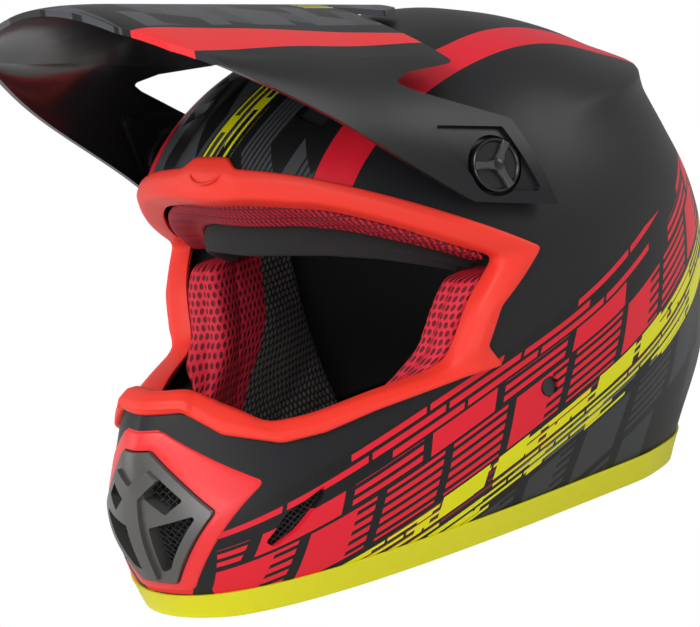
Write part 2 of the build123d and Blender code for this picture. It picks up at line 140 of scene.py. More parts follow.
def front_y(x, z, grow=0.0):
    """Foremost place of the surface seen from the front."""
    z = np.asarray(z, float)
    lift = 1 + grow / (CROWN - MID_Z)
    row = catmull(STATIONS, row_at(np.where(z <= MID_Z, z, MID_Z + (z - MID_Z) / lift)))
    a, c, f, n = row[..., 1], row[..., 2], row[..., 3], row[..., 5]
    r = np.clip(np.abs(x) / bent(a, 114.0, grow), 0, 1)
    return c - bent(c - f, 150.0, grow) * (1 - r ** n) ** (1 / n)


def outward(points):
    """Unit directions square to the shell surface near some points."""
    def level(p):
        row = catmull(STATIONS, row_at(p[..., 2]))
        a, c, f, b, n = [row[..., k] for k in range(1, 6)]
        ahead = (np.abs(p[..., 0]) / a) ** n + (np.clip(c - p[..., 1], 0, 999) / (c - f)) ** n
        behind = (p[..., 0] / a) ** 2 + ((p[..., 1] - c) / (b - c)) ** 2
        return np.where(p[..., 1] < c, ahead, behind)
    p = np.asarray(points, float)
    grad = np.stack([level(p + d) - level(p - d) for d in np.eye(3) * 0.4], -1)
    return grad / np.linalg.norm(grad, axis=-1, keepdims=True)


def smooth_loop(p, times):
    """Closed loop of points, smoothed."""
    for _ in range(times):
        p = 0.25 * np.roll(p, 1, 0) + 0.5 * p + 0.25 * np.roll(p, -1, 0)
    return p


def round_port(corners, counts):
    """Closed line on the shell through a side-view outline that starts and ends at the front."""
    p = np.asarray(corners, float)
    legs = [p[:3]] + [p[k:k + 2] for k in range(2, len(p) - 3)] + [p[-3:]]
    half = []
    for k, (leg, count) in enumerate(zip(legs, counts)):
        line = np.vstack([a + (b - a) * np.linspace(0, 1, 900)[:, None] for a, b in zip(leg, leg[1:])])
        line = line[line[:, 0] > front_y(0.0, line[:, 1])]
        if k in (0, len(legs) - 1):
            end = line[0 if k == 0 else -1, 1]
            tip = [[front_y(0.0, end), end]]
            line = np.vstack([tip, line] if k == 0 else [line, tip])
        x = side_x(line[:, 0], line[:, 1])
        x = np.where(line[:, 0] <= front_y(0.0, line[:, 1]) + 1e-6, 0.0, x)
        pts = np.column_stack([x, line])
        run = np.concatenate([[0], np.cumsum(np.linalg.norm(np.diff(pts, axis=0), axis=1))])
        want = np.linspace(0, run[-1], count, endpoint=(k == len(legs) - 1))
        half.append(np.column_stack([np.interp(want, run, pts[:, i]) for i in range(3)]))
    half = np.vstack(half)
    return np.vstack([half, (half * (-1, 1, 1))[-2:0:-1]])


# ---------------------------------------------------------------- mesh helpers

def new_object(name, verts, faces, material, smooth):
    """Mesh piece from points in millimetres."""
    mesh = bpy.data.meshes.new(name)
    mesh.from_pydata([tuple(v) for v in np.asarray(verts, float) * MM], [],
                     [tuple(int(i) for i in f) for f in faces])
    mesh.validate()
    obj = bpy.data.objects.new(name, mesh)
    bpy.context.scene.collection.objects.link(obj)
    if material is not None:
        mesh.materials.append(material)
    tidy_mesh(obj, smooth)
    return obj


def tidy_mesh(obj, smooth):
    """Merges doubles, points faces outward and shades smooth up to an angle."""
    bm = bmesh.new()
    bm.from_mesh(obj.data)
    bmesh.ops.remove_doubles(bm, verts=bm.verts, dist=1e-6)
    bmesh.ops.recalc_face_normals(bm, faces=bm.faces)
    bm.to_mesh(obj.data)
    bm.free()
    obj.data.shade_smooth()
    if smooth:
        obj.data.set_sharp_from_angle(angle=math.radians(smooth))


def applied(obj):
    """Bakes the modifiers of an object into its mesh."""
    dg = bpy.context.evaluated_depsgraph_get()
    mesh = bpy.data.meshes.new_from_object(obj.evaluated_get(dg))
    old = obj.data
    obj.modifiers.clear()
    obj.data = mesh
    bpy.data.meshes.remove(old)
    return obj


def cut(obj, cutter):
    """Takes a cutter out of a piece and deletes the cutter."""
    m = obj.modifiers.new("cut", "BOOLEAN")
    m.operation, m.solver, m.object = "DIFFERENCE", "EXACT", cutter
    applied(obj)
    bpy.data.objects.remove(cutter)
    return obj


def rounded(points, radius, steps=5):
    """Outline with each corner replaced by an arc-like curve of about that radius."""
    p = np.asarray(points, float)
    out = []
    for i in range(len(p)):
        a, b, c = p[i - 1], p[i], p[(i + 1) % len(p)]
        la, lc = np.linalg.norm(a - b), np.linalg.norm(c - b)
        r = min(radius, la * 0.45, lc * 0.45)
        s, e = b + (a - b) / la * r, b + (c - b) / lc * r
        for k in range(steps + 1):
            t = k / steps
            out.append((1 - t) ** 2 * s + 2 * t * (1 - t) * b + t * t * e)
    return np.array(out)


def prism(outline, axis, lo, hi):
    """Closed prism; outline is (y, z) for axis x, (x, z) for axis y, (x, y) for axis z."""
    p = np.asarray(outline, float)
    k = len(p)
    ring = lambda v: np.insert(p, "xyz".index(axis), v, axis=1)
    faces = [list(range(k)), list(range(2 * k - 1, k - 1, -1))]
    faces += [[i, (i + 1) % k, k + (i + 1) % k, k + i] for i in range(k)]
    return new_object("cutter", np.vstack([ring(lo), ring(hi)]), faces, None, 0)


def tube_grid(shape, close_u=True, close_v=False):
    """Faces of a grid of points, rows by columns."""
    rows, cols = shape
    faces = []
    for i in range(rows if close_v else rows - 1):
        for j in range(cols if close_u else cols - 1):
            a, b = i * cols + j, i * cols + (j + 1) % cols
            c, d = ((i + 1) % rows) * cols + (j + 1) % cols, ((i + 1) % rows) * cols + j
            faces.append((a, b, c, d))
    return faces


def dome(name, outside, inside, start, rows, cols, material):
    """Closed hollow dome between two skins, from row number start up to the crown."""
    s = np.linspace(start, TOP - 0.04, rows)
    u = np.arange(cols) / cols
    out = skin(s[:, None], u[None, :], outside).reshape(-1, 3)
    inn = skin(s[:, None], u[None, :], inside).reshape(-1, 3)
    n = rows * cols
    verts = np.vstack([out, inn, skin(np.array([TOP]), np.array([0.0]), outside),
                       skin(np.array([TOP]), np.array([0.0]), inside)])
    faces = tube_grid((rows, cols))
    faces += [tuple(n + k for k in f[::-1]) for f in tube_grid((rows, cols))]
    last = (rows - 1) * cols
    for j in range(cols):
        k = (j + 1) % cols
        faces.append((last + j, last + k, 2 * n))
        faces.append((n + last + k, n + last + j, 2 * n + 1))
        faces.append((j, n + j, n + k, k))
    return new_object(name, verts, faces, material, 0)


def ride(obj, body, replaces=()):
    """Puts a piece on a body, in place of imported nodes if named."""
    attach(obj, body)
    if replaces:
        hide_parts(*([replaces] if isinstance(replaces, str) else replaces))
    return obj


# ---------------------------------------------------------------- shader helpers

def node(tree, kind, inputs=None, **settings):
    """Any node of a tree, with its settings and then its sockets' values or links."""
    made = tree.nodes.new(kind)
    for name, setting in settings.items():
        setattr(made, name, setting)
    for name, source in (inputs or {}).items():
        if isinstance(source, Value):
            tree.links.new(source.socket, made.inputs[name])
        elif isinstance(source, bpy.types.NodeSocket):
            tree.links.new(source, made.inputs[name])
        else:
            made.inputs[name].default_value = source
    return made


class Value:
    """A shader socket that can be worked with like a number."""

    def __init__(self, tree, socket):
        self.tree, self.socket = tree, socket

    def maths(self, operation, *others):
        inputs = dict(enumerate((self,) + others))
        return Value(self.tree, node(self.tree, "ShaderNodeMath", inputs, operation=operation).outputs[0])

    def mix(self, off, on):
        """Mix of two numbers by this value."""
        return Value(self.tree, node(self.tree, "ShaderNodeMix", {0: self, 2: off, 3: on}).outputs[0])

    def __add__(self, o): return self.maths("ADD", o)
    def __radd__(self, o): return self.maths("ADD", o)
    def __sub__(self, o): return self.maths("SUBTRACT", o)
    def __rsub__(self, o): return (self * -1.0) + o
    def __mul__(self, o): return self.maths("MULTIPLY", o)
    def __rmul__(self, o): return self.maths("MULTIPLY", o)
    def __truediv__(self, o): return self.maths("DIVIDE", o)
    def __gt__(self, o): return self.maths("GREATER_THAN", o)
    def __lt__(self, o): return self.maths("LESS_THAN", o)
    def __abs__(self): return self.maths("ABSOLUTE")
    def __and__(self, o): return self.maths("MINIMUM", o)
    def __or__(self, o): return self.maths("MAXIMUM", o)
    def __invert__(self): return 1.0 - self
    def floor(self): return self.maths("FLOOR")
    def part(self): return self.maths("FRACT")
    def sine(self): return self.maths("SINE")

    def chance(self, seed=0.0):
        """A fixed number from 0 to 1 for each whole number."""
        return ((self * 12.9898 + seed).sine() * 4375.85).part()

    def between(self, lo, hi):
        return (self > lo) & (self < hi)

    def paint(self, off, on):
        """Mix of two colours, or of a colour chain, by this value."""
        off, on = [c if isinstance(c, Value) else (*c, 1.0) for c in (off, on)]
        mixed = node(self.tree, "ShaderNodeMix", {0: self, 6: off, 7: on}, data_type="RGBA")
        return Value(self.tree, mixed.outputs[2])


class Paint:
    """A material with one Principled shader."""

    def __init__(self, name, color=(0.5, 0.5, 0.5), rough=0.5, metal=0.0, coat=0.0):
        self.material = bpy.data.materials.new(name)
        self.material.use_nodes = True
        self.tree = self.material.node_tree
        self.bsdf = self.tree.nodes["Principled BSDF"]
        self.set("Base Color", (*color, 1.0))
        self.set("Roughness", rough)
        self.set("Metallic", metal)
        self.set("Coat Weight", coat)

    def set(self, name, value):
        if isinstance(value, Value):
            self.tree.links.new(value.socket, self.bsdf.inputs[name])
        else:
            self.bsdf.inputs[name].default_value = value

    def where(self):
        """Place on the piece in millimetres as three values."""
        place = node(self.tree, "ShaderNodeTexCoord").outputs["Object"]
        parts = node(self.tree, "ShaderNodeSeparateXYZ", {0: place})
        return [Value(self.tree, parts.outputs[i]) * 1000.0 for i in range(3)]

    def uv(self):
        """Place on the cloth map in millimetres as two values."""
        place = node(self.tree, "ShaderNodeUVMap", uv_map="cloth").outputs["UV"]
        parts = node(self.tree, "ShaderNodeSeparateXYZ", {0: place})
        return [Value(self.tree, parts.outputs[i]) for i in range(2)]

    def noise(self, scale, detail):
        """Fine random height of the surface."""
        place = node(self.tree, "ShaderNodeTexCoord").outputs["Object"]
        grain = {"Vector": place, "Scale": scale, "Detail": detail}
        return Value(self.tree, node(self.tree, "ShaderNodeTexNoise", grain).outputs[0])

    def bump(self, height, depth):
        """Raises the look of the surface by height times depth millimetres."""
        raised = {"Height": height, "Strength": 1.0, "Distance": depth * MM}
        self.set("Normal", Value(self.tree, node(self.tree, "ShaderNodeBump", raised).outputs[0]))


BLACK = (0.0085, 0.009, 0.0105)
INK = (0.006, 0.006, 0.007)
DARK_RED = (0.22, 0.010, 0.02)
GREY = (0.034, 0.036, 0.041)
BROW_GREY = (0.055, 0.057, 0.062)
ASH = (0.10, 0.105, 0.11)

BAND_TOP = 46.5         # height of the red field above the slanted line
YELLOW_DEEP = 22.0      # depth of the yellow field below it
FRONT_FIELD = -88.0     # in front of this the red field reaches down to the rim
MATT_SHINE = 0.3
LACQUER_GRAIN, LACQUER_DEPTH = 2600.0, 0.012


def band_height(y, z):
    """Height above the slanted line that the side pattern follows."""
    return z - (y * 0.402 + y * y * 0.000142 + 72.2)


def blocks(lean, v, low, high, wide, seed, share, gap=0.16):
    """Row of leaning parallelograms, some of them frayed into thin lines: 1 inside."""
    local = (lean + seed * 7.0) / wide
    cell, u = local.floor(), local.part()
    solid = (cell.chance(seed) < share) & (u > gap)
    lines = ((v / 4.0).part() < 0.56)
    frayed = lines & (cell.chance(seed) > share) & (cell.chance(seed + 4.0) > 0.3) & (u > gap)
    fringe = lines & (u > 0.74) & (cell.chance(seed + 2.0) > 0.5)
    edge = solid & ((u < 0.74) | (cell.chance(seed + 2.0) < 0.5))
    return (edge | fringe | frayed) & v.between(low, high)


def streaks(lean, v, low, high, pitch, thick, seed, share, wide=34.0):
    """Thin lines along the band, broken into lengths: 1 on a line."""
    row = ((v - low) / pitch).floor()
    local = (lean + row * 9.0 + seed) / wide
    on = (local.floor() * 3.0 + row * 11.0).chance(seed) < share
    return (((v - low) / pitch).part() < thick) & on & (local.part() > 0.05) & v.between(low, high)


def red_field(lean, v, y):
    """Rows of leaning blocks with thin broken lines above them, down to the rim at the front."""
    red = blocks(lean, v, 1.2, 21.5, 30.0, 3.0, 0.62, 0.14)
    red = red | blocks(lean + 12.0, v, 23.0, 32.2, 34.0, 6.0, 0.62, 0.12)
    red = red | (blocks(lean, v, -60.0, -0.4, 32.0, 1.0, 0.70) & (y < FRONT_FIELD))
    red = red | streaks(lean, v, 33.5, BAND_TOP, 4.4, 0.60, 2.0, 0.84)
    return red & (v < BAND_TOP - (y - 30.0) * (y > 30.0) * 0.16)


def yellow_field(lean, v, yellow):
    """Yellow blocks and lines with dark red and grey lines between them."""
    bar = blocks(lean, v, -9.0, 0.0, 26.0, 12.0, 0.34)
    bar = bar | blocks(lean + 15.0, v, -21.5, -12.5, 31.0, 14.0, 0.30)
    lines = streaks(lean, v, -21.6, 0.0, 3.1, 0.42, 5.0, 0.85, 24.0)
    dull = streaks(lean + 11.0, v + 1.5, -10.0, 0.5, 3.1, 0.40, 4.0, 0.8, 30.0)
    ash = streaks(lean + 5.0, v + 1.5, -YELLOW_DEEP, -10.0, 3.1, 0.40, 7.0, 0.7, 30.0)
    color = dull.paint(INK, DARK_RED)
    color = ash.paint(color, ASH)
    color = lines.paint(color, yellow)
    return bar.paint(color, yellow)


def grey_field(lean, v, y):
    """Two rows of grey blocks and the lines under them at the back."""
    grey = blocks(lean + 8.0, v, -46.0, -23.0, 31.0, 21.0, 0.66, 0.2)
    grey = grey | blocks(lean, v, -70.0, -48.0, 27.0, 23.0, 0.6, 0.24)
    grey = grey | (streaks(lean, v, -110.0, -62.0, 5.0, 0.6, 3.0, 0.6) & (y > 0.0))
    return grey & (y > FRONT_FIELD)


def side_pattern(x, y, z, v, look):
    """Red, yellow and grey fields along the slanted line of each side, frayed at the back."""
    lean = y - z * 0.34
    color = red_field(lean, v, y).paint(INK, look.pattern_red[:])
    near = v.between(-YELLOW_DEEP, 0.0) & (y > -150.0)
    color = near.paint(color, yellow_field(lean, v, look.yellow[:]))
    color = grey_field(lean, v, y).paint(color, GREY)
    end = (v / 4.0).floor().chance(9.0) * 15.0 + 114.0
    side = (z < 165.0) & (x > 26.0) & (y > -187.0) & (y < end + v * 0.1)
    clear = (v > BAND_TOP) | ((y < -118.0) & (z > 62.0 + (y + 180.0) * 0.26))
    return (side & ~clear).paint(BLACK, color)


def crown_stripe(x, y, z, v):
    """Long stripe on each side of the crown, curved in at both ends."""
    stripe = (x - 59.0 + abs(y + 10.0) * 0.035) > 0.0
    stripe = stripe & ((x - 76.0 + (y + 10.0) * (y + 10.0) * 0.0006) < 0.0)
    return stripe & (z > 160.0) & (y < 118.0) & (v > 46.0)


def brow_pattern(color, xs, z, brow):
    """Grey field with dark leaning shapes between the stripes."""
    tilt = xs - (z - 200.0) * 0.24
    along = z + tilt * 1.1
    rhomb = ((tilt / 14.0).floor() * 3.0 + (along / 17.0).floor() * 7.0).chance(4.0) > 0.66
    cuts = ((tilt / 2.7).part() < 0.34) & ((tilt / 12.0).floor().chance(6.0) > 0.5)
    return brow.paint(color, (rhomb | cuts).paint(BROW_GREY, INK))


def brow_dashes(xs, z, brow):
    """Four leaning lines in the middle of the brow with short bars on them."""
    tilt = xs - (z - 200.0) * 0.24
    dash = tilt.between(-9.5, 9.0) & (((tilt + 9.5) / 4.6).part() < 0.36)
    dash = dash | (tilt.between(-9.5, -3.0) & z.between(213.0, 219.0))
    dash = dash | (tilt.between(-0.5, 4.5) & z.between(221.0, 225.0))
    length = ((z + tilt * 2.0) / 15.0).floor() + (tilt / 4.6).floor() * 3.0
    return dash & (length.chance(5.0) > 0.12) & brow


def vent_plate_mask(x, y, z):
    """Red ground of the plate round the mouth vent."""
    plate = (z < 91.5) & (z > 12.5) & (y < -140.0) & ((z - 91.0 + (x - 11.0) * 0.718) < 0.0)
    return plate & ((z - 15.0 - (x - 17.0) * 1.4545) > 0.0)


def shell_paint(look):
    """Matt black lacquer with the printed pattern."""
    p = Paint("shell_black", BLACK, 0.44)
    xs, y, z = p.where()
    x, v = abs(xs), band_height(y, z)
    brow = (z > 150.0) & (x < 55.0) & (y < -20.0)
    color = side_pattern(x, y, z, v, look)
    color = brow_pattern(color, xs, z, brow)
    color = crown_stripe(x, y, z, v).paint(color, look.pattern_red[:])
    color = brow_dashes(xs, z, brow).paint(color, look.yellow[:])
    color = vent_plate_mask(x, y, z).paint(color, look.bright_red[:])
    p.set("Base Color", color)
    p.set("Specular IOR Level", MATT_SHINE)
    p.bump(p.noise(LACQUER_GRAIN, 1.0), LACQUER_DEPTH)
    return p.material


def peak_paint(look):
    """Matt black with grey blocks between two red bands."""
    p = Paint("peak_black", BLACK, 0.4)
    x, y, _ = p.where()
    ax = abs(x)
    cell = ((x - y * 0.35) / 15.0).floor()
    row = ((y + x * 0.1) / 13.0).floor()
    block = ((cell + row * 5.0).chance(1.5) > 0.42) & (ax < 48.0)
    thin = ((y / 3.0).part() < 0.3) & ((cell * 3.0 + row).chance(7.0) > 0.6)
    color = (block & ~thin).paint(BLACK, (0.060, 0.063, 0.070))
    run = (y + 200.0) / 130.0
    band = ((ax - 49.0 - run * 7.0) > 0.0) & ((ax - 73.5 + run * 5.0) < 0.0) & (y > -203.0)
    color = band.paint(color, look.bright_red[:])
    dash = (((x - 8.0) / 4.0).part() > 0.6) & x.between(8.0, 22.0) & y.between(-62.0, -42.0)
    color = dash.paint(color, look.yellow[:])
    p.set("Base Color", color)
    p.set("Specular IOR Level", MATT_SHINE)
    p.bump(p.noise(LACQUER_GRAIN, 1.0), LACQUER_DEPTH)
    return p.material


def hole_distance(u, v, pitch, wide=1.0, tall=1.0):
    """Distance from the nearest centre of staggered dots, in pitches."""
    u, v = u / (pitch * wide), v / (pitch * 0.866 * tall)
    shift = (v.floor() * 0.5).part()
    du = (u + shift).part() - 0.5
    dv = v.part() - 0.5
    return (du * du + dv * dv * 0.75).maths("SQRT")


def ramp(value, lo, hi):
    """0 below lo, 1 above hi and smooth between."""
    t = ((value - lo) / (hi - lo)).maths("MAXIMUM", 0.0).maths("MINIMUM", 1.0)
    return t * t * ((t * -2.0) + 3.0)


def cheek_paint():
    """Crimson open mesh on the face side, grey pebbled mesh on the side that meets the cheek; the holes and
    the ground between the pebbles are painted darker as painted shade.
    """
    p = Paint("fabric_red", (0.62, 0.012, 0.035), 0.7)
    u, v = p.uv()
    dist = hole_distance(u, v, 4.4, 0.8)
    solid = ramp(dist, 0.20, 0.36)
    # painted shade: the low holes of the crimson mesh get a dark copy of the red
    red = solid.paint((0.10, 0.0, 0.006), (0.64, 0.010, 0.036))
    dist2 = hole_distance(u, v, 3.6)
    dot = ramp(dist2, 0.25, 0.45)
    # painted shade: the low ground between the grey pebbles gets a dark copy of the grey
    grey = dot.paint((0.150, 0.138, 0.136), (0.025, 0.022, 0.022))
    inner = u > 20.0
    p.set("Base Color", inner.paint(red, grey))
    p.bump(inner.mix(solid, dot * -1.0), 0.7)
    return p.material


def ribbed_paint():
    """Red lining fabric with fine slanted ribs and small holes; the low grooves and holes are painted dark
    red as painted shade.
    """
    p = Paint("lining_red", (0.5, 0.008, 0.025), 0.75)
    u, v = p.uv()
    wave = (((u + v * 0.25) / 2.6).part() - 0.5).maths("ABSOLUTE")
    holes = hole_distance(u, v, 2.6, 1.0, 0.9)
    rib = ramp(wave, 0.08, 0.3)
    mesh = ramp(holes, 0.18, 0.3)
    # painted shade: the low grooves and holes get a dark copy of the lining red
    p.set("Base Color", (rib & mesh).paint((0.13, 0.0, 0.008), (0.58, 0.008, 0.03)))
    p.bump(rib & mesh, 0.6)
    return p.material


def pebble_paint(name, color, hollow_shade, pitch):
    """Fabric with a raised pebble pattern of one pitch; the low ground between the pebbles is painted darker
    as painted shade.
    """
    p = Paint(name, color, 0.75)
    u, v = p.uv()
    dot = ramp(hole_distance(u, v, pitch), 0.25, 0.45)
    # painted shade: the low ground between the pebbles takes the darker colour
    p.set("Base Color", dot.paint(color, hollow_shade))
    p.bump(dot * -1.0, 0.5)
    return p.material


def build_materials(look):
    """All finishes by name."""
    m = {}
    m["shell"] = shell_paint(look)
    m["peak"] = peak_paint(look)
    m["peak_under"] = Paint("peak_under", (0.008, 0.008, 0.009), 0.18).material
    red = Paint("chin_red", look.bright_red[:], 0.36)
    red.bump(red.noise(2200.0, 1.0), 0.01)
    m["chin_red"] = red.material
    trim = Paint("trim_red", look.trim_red[:], 0.46)
    trim.set("Specular IOR Level", 0.28)
    m["trim"] = trim.material
    m["rim"] = Paint("rim_yellow", look.rim_yellow[:], 0.42).material
    m["graphite"] = Paint("vent_graphite", (0.12, 0.118, 0.113), 0.34, 0.55).material
    m["mesh"] = Paint("mesh_black", (0.02, 0.02, 0.021), 0.45, 0.3).material
    m["foam"] = Paint("foam_dark", (0.015, 0.015, 0.016), 0.8).material
    m["knob"] = Paint("knob_black", (0.008, 0.008, 0.009), 0.28).material
    m["arm"] = Paint("arm_grey", (0.05, 0.05, 0.053), 0.22).material
    m["steel"] = Paint("steel", (0.55, 0.55, 0.57), 0.3, 1.0).material
    m["plug"] = Paint("plug_black", (0.01, 0.01, 0.01), 0.5).material
    m["cheek"] = cheek_paint()
    m["ribbed"] = ribbed_paint()
    m["pebble"] = pebble_paint("crown_pebble", (0.085, 0.084, 0.086), (0.020, 0.020, 0.020), 3.4)
    fleece = Paint("fabric_black", (0.014, 0.014, 0.015), 0.95)
    fleece.bump(fleece.noise(900.0, 4.0), 0.5)
    m["fleece"] = fleece.material
    sponge = Paint("vent_sponge", (0.010, 0.010, 0.011), 0.95)
    sponge.bump(sponge.noise(700.0, 3.0), 0.6)
    m["sponge"] = sponge.material
    web = Paint("webbing", (0.012, 0.012, 0.013), 0.8)
    wu, wv = web.uv()
    twill = ((wu / 1.5).sine() * 0.25) + (((wv + wu * 0.6) / 1.3).part() - 0.5).maths("ABSOLUTE")
    edge = ramp(abs(((wu + 34.0).maths("ABSOLUTE") - 9.2)), 0.1, 0.5)
    web.bump(twill & edge, 0.45)
    m["web"] = web.material
    return m


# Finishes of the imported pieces; all others are plain black plastic.
PACKED_FINISH = {
    "neck_rim_trim": "rim", "eyeport_trim": "trim", "impact_liner": "foam", "chin_bar_liner": "foam",
    "mouth_vent_frame": "graphite", "mouth_vent_mesh": "mesh", "mouth_vent_filter": "fleece",
    "chin_mesh_left": "mesh", "chin_mesh_right": "mesh", "crown_liner": "fleece",
    "brow_lining": "chin_red", "brow_pad": "fleece", "cheek_pad_left": "chin_red",
    "cheek_pad_right": "chin_red", "neck_roll": "fleece", "peak": "peak", "side_knob_left": "knob",
    "side_knob_right": "knob", "strap_ring_lower": "steel", "strap_ring_upper": "steel",
    "strap_left": "web", "strap_right": "web", "screw_insert_left": "steel",
    "screw_insert_right": "steel",
}
FINISHES = {}


# ---------------------------------------------------------------- shared outlines

PORT_OUTER = [(-300, 201.5), (-122, 199.5), (-112, 194), (-33, 142), (-57, 120), (-64, 102),
              (-57, 91), (-75, 90), (-116, 84), (-138, 79), (-155, 78), (-173, 86), (-181, 98),
              (-300, 98)]
PORT_INNER = [(-300, 188), (-127, 187), (-112, 181.5), (-52, 142), (-69, 119), (-76, 101),
              (-80, 96), (-88, 93), (-116, 91), (-140, 88), (-157, 88), (-170, 100), (-176, 109),
              (-300, 111)]
PORT_COUNTS = [40, 60, 22, 14, 9, 12, 30, 16, 12, 16, 44]
VENT = [(9, 83), (37, 53), (12, 19), (-12, 19), (-37, 53), (-9, 83)]
DIAMOND = [(12, 91), (52, 63), (18, 15), (-18, 15), (-52, 63), (-12, 91)]
PIVOT = (-49.0, 185.0)
SCREW = np.array([116.3, -49.0, 185.0])
SCREW_DIR = np.array([1, -0.227, 0.224]) / np.linalg.norm([1, -0.227, 0.224])


def round_hole(y, z, radius):
    """Outline of a round hole seen from the side."""
    return [(y + radius * math.cos(t), z + radius * math.sin(t))
            for t in np.linspace(0, 2 * math.pi, 24, endpoint=False)]


def build_shell(m):
    """Hard shell with its openings, roof vents, screw holes and strap rivet holes."""
    obj = dome("outer_shell_skin", 0.0, -SHELL_WALL, float(row_at(SHELL_LOW)), 118, 380, m["shell"])
    cut(obj, prism(rounded(PORT_OUTER, 3.0), "x", -170, 170))
    cut(obj, prism(rounded(VENT, 3.0), "y", -260, -120))
    slot = rounded([(-172, 35), (-163, 47), (-146, 56), (-148, 51), (-160, 38), (-169, 32)], 1.5)
    cut(obj, prism(slot, "x", -170, 170))
    for x in (-40, 40):
        for y in (-86, -60):
            hole = rounded([(x - 8, y - 5.5), (x + 8, y - 5.5), (x + 8, y + 5.5), (x - 8, y + 5.5)], 2)
            cut(obj, prism(hole, "z", 200, 262))
    for hole in (round_hole(*PIVOT, 6.3), round_hole(-34, 74, 4.8)):
        cut(obj, prism(hole, "x", -170, 170))
    tidy_mesh(obj, 38)
    ride(obj, BODY, "outer_shell")


def inside(points, outline):
    """Which points lie within an outline."""
    p, o = np.asarray(points, float), np.asarray(outline, float)
    hit = np.zeros(len(p), bool)
    for a, b in zip(o, np.roll(o, -1, 0)):
        cross = (a[1] > p[:, 1]) != (b[1] > p[:, 1])
        edge = (b[0] - a[0]) * (p[:, 1] - a[1]) / (b[1] - a[1] + 1e-12) + a[0]
        hit ^= cross & (p[:, 0] < edge)
    return hit


def wire_tree():
    """Geometry Nodes: lines of a mesh become round wires of one thickness."""
    tree = bpy.data.node_groups.new("wires", "GeometryNodeTree")
    io = tree.interface
    io.new_socket(name="Lines", in_out="INPUT", socket_type="NodeSocketGeometry")
    thick = io.new_socket(name="Wire radius", in_out="INPUT", socket_type="NodeSocketFloat")
    thick.default_value = 0.0003
    io.new_socket(name="Material", in_out="INPUT", socket_type="NodeSocketMaterial")
    io.new_socket(name="Wires", in_out="OUTPUT", socket_type="NodeSocketGeometry")
    start = node(tree, "NodeGroupInput").outputs
    curve = node(tree, "GeometryNodeMeshToCurve", {"Mesh": start["Lines"]})
    ring = node(tree, "GeometryNodeCurvePrimitiveCircle",
                {"Resolution": 6, "Radius": start["Wire radius"]})
    tube = node(tree, "GeometryNodeCurveToMesh",
                {"Curve": curve.outputs["Curve"], "Profile Curve": ring.outputs["Curve"],
                 "Fill Caps": True})
    real = node(tree, "GeometryNodeRealizeInstances", {0: tube.outputs["Mesh"]})
    paint = node(tree, "GeometryNodeSetMaterial",
                 {"Geometry": real.outputs[0], "Material": start["Material"]})
    node(tree, "NodeGroupOutput", {"Wires": paint.outputs["Geometry"]})
    return tree


def woven(name, outline, place, pitch, lift, material, look):
    """Woven wires over a flat outline, laid on a surface by place(u, v, height)."""
    o = np.asarray(outline, float)
    reach = int(np.ptp(o, axis=0).max() / pitch) + 2
    mid, verts, edges = o.mean(0), [], []
    for sign in (1, -1):
        for i in range(-reach, reach + 1):
            j = np.arange(-reach * 4, reach * 4 + 1) / 4.0
            u = mid[0] + (i + j) * pitch * 0.707
            v = mid[1] + sign * (j - i) * pitch * 0.707
            ok = inside(np.column_stack([u, v]), o)
            wave = sign * lift * np.cos(np.pi * j) * (1 if i % 2 == 0 else -1)
            pts = place(u, v, wave)
            for k in np.nonzero(ok[:-1] & ok[1:])[0]:
                edges.append((len(verts) + k, len(verts) + k + 1))
            verts.extend(pts)
    used = sorted({k for e in edges for k in e})
    index = {k: n for n, k in enumerate(used)}
    mesh = bpy.data.meshes.new(name)
    mesh.from_pydata([tuple(np.array(verts[k]) * MM) for k in used],
                     [(index[a], index[b]) for a, b in edges], [])
    obj = bpy.data.objects.new(name, mesh)
    bpy.context.scene.collection.objects.link(obj)
    mod = obj.modifiers.new("wires", "NODES")
    mod.node_group = wire_tree()
    ids = {s.name: s.identifier for s in mod.node_group.interface.items_tree if s.in_out == "INPUT"}
    mod[ids["Wire radius"]] = look.wire * MM
    mod[ids["Material"]] = material
    applied(obj)
    obj.data.shade_smooth()
    return obj


def build_vents(m, look):
    """Woven mesh behind the vent frame and in the side slots, raised plate round the vent."""
    edge = [(7, 79), (33, 53), (10, 23), (-10, 23), (-33, 53), (-7, 79)]
    depth = -3.0

    def on_front(u, v, wave):
        return np.column_stack([u, front_y(u, v, depth) - wave, v])

    ride(woven("vent_weave", edge, on_front, look.pitch, 0.3, m["mesh"], look), BODY,
         "mouth_vent_mesh")
    slot = [(-173.0, 33.8), (-164, 48.0), (-145.5, 56.3), (-147.3, 49.5), (-160, 35.6), (-169.3, 30.6)]
    for side, sign in (("left", 1), ("right", -1)):
        def on_side(u, v, wave):
            return np.column_stack([sign * (side_x(u, v, -3.5) + wave), u, v])
        ride(woven("slot_weave_" + side, slot, on_side, look.pitch * 0.8, 0.25, m["mesh"], look), BODY,
             "chin_mesh_" + side)

    outer, inner = rounded(DIAMOND, 3.0, 6), rounded(VENT, 2.0, 6)
    fine = lambda p: np.vstack([a + (b - a) * np.linspace(0, 1, 8, endpoint=False)[:, None]
                                for a, b in zip(p, np.roll(p, -1, 0))])
    outer, inner = fine(outer), fine(inner)
    rows = []
    for w, d in ((0.0, -1.2), (0.0, 0.0), (0.015, 0.55), (0.05, 0.9), (0.12, 1.0), (0.3, 1.15),
                 (0.6, 1.3), (0.88, 1.4), (0.97, 1.1), (1.0, 0.4), (1.0, -1.2), (1.0, -2.8),
                 (0.9, -2.8), (0.5, -2.0), (0.1, -1.4)):
        flat = outer * (1 - w) + inner * w
        rows.append(np.column_stack([flat[:, 0], front_y(flat[:, 0], flat[:, 1]) - d, flat[:, 1]]))
    grid = np.array(rows)
    plate = new_object("vent_plate", grid.reshape(-1, 3), tube_grid(grid.shape[:2], True, True),
                       m["chin_red"], 40)
    ride(plate, BODY)


